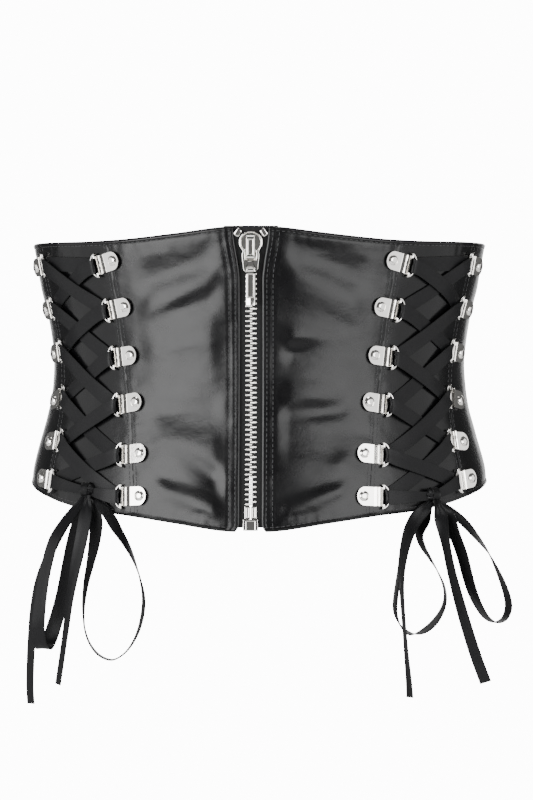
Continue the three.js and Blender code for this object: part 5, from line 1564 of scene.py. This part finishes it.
# %% Top stops
STOP_WIDTH, STOP_TALL, STOP_THICK = 3.8, 5.0, 1.6
STOP_FRONT = TAPE + GAP + STOP_THICK
STOP_LEAN = math.radians(34)
STOP_REACH = (SLIDER_WIDTH / 2 + 0.9) * MM
stop_frame = surface_frame(0, SLIDER_MIDDLE + SLIDER_TALL / 2 - 0.9)
corners = [(x * STOP_WIDTH / 2, z * STOP_TALL / 2) for x, z in ((-1, -1), (1, -1), (1, 1), (-1, 1))]
for side_name, side in SIDES.items():
    stop = outlined("stop_model", corners, STOP_FRONT, TAPE + GAP, 1.2)
    edit(stop, "FACE")
    select_where(stop, "faces", lambda at: at.y < -STOP_FRONT + NEAR)
    press((0.95, 0.3))
    leave_edit()
    rounded(stop, 0.4, 3)
    lean = Matrix.Translation((side * STOP_REACH, 0, 0)) @ Matrix.Rotation(-side * STOP_LEAN, 4, "Y")
    set_in(f"nickel_top_stop_{side_name}", polished(stop, 50), stop_frame @ np.array(lean),
           f"zip_top_stop_{side_name}")
print("top stops", STOP_TALL, "mm tall")


# %% [markdown]
# The pull has two moving pieces. The link is a flat ring with two arms, and hangs from the bridge. The tab
# turns on the pin between the arms. The ring starts as two circles that are bridged and pulled out: the
# inner one is its window, and the outer one is moved to the outline. The slot between the arms is cut away.

# %% Pull link
LINK_TALL = 15.0
LINK_TOP_WIDTH, LINK_FOOT_WIDTH = 10.5, 8.4
LINK_THICK = 1.4
LINK_SIDES = 40
LINK_ARM = 1.9
WINDOW_HALF, WINDOW_TALL = 3.6, 7.2
WINDOW_CORNER = 0.55
PULL_PIN = 1.2
link_top = LINK_BAR / 2
link_foot = link_top - LINK_TALL
window_middle = link_top - LINK_BAR - WINDOW_TALL / 2
boss_radius = PULL_PIN / 2 + GAP + 0.6
pin_up = link_foot + boss_radius - 0.2
slot_half = LINK_FOOT_WIDTH / 2 - LINK_ARM
pull_place = (slider_frame @ np.array([0, -PULL_LIFT * MM, PULL_UP * MM, 1]))[:3]


def link_outline(angle):
    """Outer edge of the link in a direction from the window's middle: a round head over straight sides."""
    across, up = math.cos(angle), math.sin(angle)
    if up >= 0:
        return LINK_TOP_WIDTH / 2 * across, window_middle + (link_top - window_middle) * up
    foot_drop = window_middle - link_foot
    side_lean = (LINK_TOP_WIDTH - LINK_FOOT_WIDTH) / 2 / foot_drop
    reach = min(LINK_TOP_WIDTH / 2 / (abs(across) + side_lean * -up + 1e-9), foot_drop / -up)
    return reach * across, window_middle + reach * up


def link_window(angle):
    """Inner edge: a circle whose sines are pushed outwards becomes a window with rounded corners."""
    across, up = (math.copysign(abs(v) ** WINDOW_CORNER, v) for v in (math.cos(angle), math.sin(angle)))
    return WINDOW_HALF * across, window_middle + WINDOW_TALL / 2 * up


deselect()
bpy.ops.mesh.primitive_circle_add(vertices=LINK_SIDES, radius=MM)
link = named("link_model")
edit(link, "EDGE")
bpy.ops.mesh.primitive_circle_add(vertices=LINK_SIDES, radius=MM)
mesh = bmesh.from_edit_mesh(link.data)
for index, vertex in enumerate(mesh.verts):
    edge_line = link_outline if index < LINK_SIDES else link_window
    across, up = edge_line(2 * math.pi * index / LINK_SIDES)
    vertex.co = (across * MM, -LINK_THICK / 2 * MM, up * MM)
bmesh.update_edit_mesh(link.data)
bpy.ops.mesh.select_all(action="SELECT")
bpy.ops.mesh.bridge_edge_loops()
bpy.ops.mesh.select_all(action="SELECT")
pull(0, LINK_THICK, 0)
leave_edit()
outward_faces(link)
slot_top = pin_up + boss_radius + GAP
cut_away(link, block("slot_cutter", (-slot_half, slot_half), (-2, 2), (link_foot - 1, slot_top)))
rounded(link, 0.26, 2, 45)
pin = rod("link_pin", 16, PULL_PIN / 2, 2 * slot_half + 1.2, pin_up)
link = polished(joined("link_model", link, pin))
set_in("nickel_pull_link", link, Matrix.Translation(pull_place), "pull_link", "link")
print("link hangs from", [round(float(v), 4) for v in pull_place])

# %% [markdown]
# The tab is a long plate with a bare recess above and a low ridge down its foot. A neck joins it to the eye,
# a short tube with room for the pin.

# %% Pull tab
TAB_TALL, TAB_WIDTH, TAB_THICK, TAB_FOOT = 21.6, 5.2, 1.6, 5.0
RIDGE_HALF, RIDGE_RISE = 0.2, 0.4
tab_half = TAB_WIDTH / 2
tab_top = -boss_radius - GAP - 0.2
foot_top = -TAB_TALL + TAB_FOOT - 0.8
eye_half = slot_half - GAP


def on_face(at):
    return at.y < -TAB_THICK / 2 + NEAR


tab_outline = both_sides([(tab_half - 0.5, tab_top), (tab_half, tab_top - 1.2), (tab_half, -TAB_TALL)])
tab = outlined("tab_plate", tab_outline, TAB_THICK / 2, -TAB_THICK / 2)
edit(tab, "FACE")
cut_across("z", foot_top)
select_where(tab, "faces", lambda at: on_face(at) and at.z > foot_top - NEAR)
press((0.6, 0), (0.15, -0.45))
for cut in (-RIDGE_HALF, RIDGE_HALF):
    select_where(tab, "faces", lambda at: on_face(at) and at.z < foot_top + NEAR)
    cut_across("x", cut)
select_where(tab, "edges", lambda at: on_face(at) and at.z < foot_top + NEAR and abs(at.x) < 0.51)
bpy.ops.transform.translate(value=(0, -RIDGE_RISE * MM, 0))
leave_edit()
rounded(tab, 0.2, 2, 50)
neck = block("tab_neck", (-eye_half + 0.2, eye_half - 0.2), (-0.6, 0.6), (tab_top - 0.6, -PULL_PIN))
eye = thicken(rod("tab_eye", 24, boss_radius, 2 * eye_half, ends="NOTHING"), 0.55)
rounded(eye, 0.15, 2, 50)
tab = polished(joined("tab_model", tab, neck, eye))
set_in("nickel_pull_tab", tab, Matrix.Translation(pull_place + (0, 0, pin_up * MM)), "pull_tab", "tab")
print("tab", TAB_TALL, "by", TAB_WIDTH, "mm")


# %% [markdown]
# Every hem and seam is topstitched. One stitch is modelled once: a thin six-sided thread whose ends are
# pushed down, as they are where the needle went through. Copies follow the same stitch lines that dip the
# leather, one every three millimetres, and each panel's thread is joined into one piece.

# %% One stitch
STITCH_PITCH = 3.2
STITCH_LONG = 2.5
STITCH_BEND = 0.7
STITCH_SINK = 0.3
THREAD = 0.42

stitch = rod("stitch_model", 6, THREAD / 2, STITCH_LONG)
edit(stitch, "EDGE")
for cut in (-STITCH_BEND, STITCH_BEND):
    bpy.ops.mesh.select_all(action="SELECT")
    cut_across("x", cut)
select_where(stitch, "verts", lambda at: abs(at.x) > STITCH_BEND + 0.3)
bpy.ops.transform.translate(value=(0, 0, -STITCH_SINK * MM))
leave_edit()
outward_faces(stitch)


def stitch_frames(points, normals):
    """Frames of stitches spaced along a line of points, with the surface's normals."""
    done = walked(points) / MM
    count = int(done[-1] / STITCH_PITCH)
    middles = (np.arange(count) + 0.5) * done[-1] / count
    centres = resampled(points, done, middles)
    tangents = unit(resampled(np.gradient(points, axis=0), done, middles))
    outs = resampled(normals, done, middles)
    outs = unit(outs - tangents * np.sum(outs * tangents, axis=1, keepdims=True))
    return [matrix_of(*columns) for columns in zip(tangents, np.cross(outs, tangents), outs, centres)]


total = 0
for panel in sewn_panels:
    frames = []
    for level, across in panel.lines():
        points, turn, height = panel.surface(level, across)
        normals = outwards(turn, height)
        frames += stitch_frames(points + normals * THREAD * 0.35 * MM, normals)
    piece = finish(copies(f"thread_{panel.name}", stitch, frames), thread)
    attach(piece, "belt")
    total += len(frames)
remove(stitch)
print("stitches:", total)
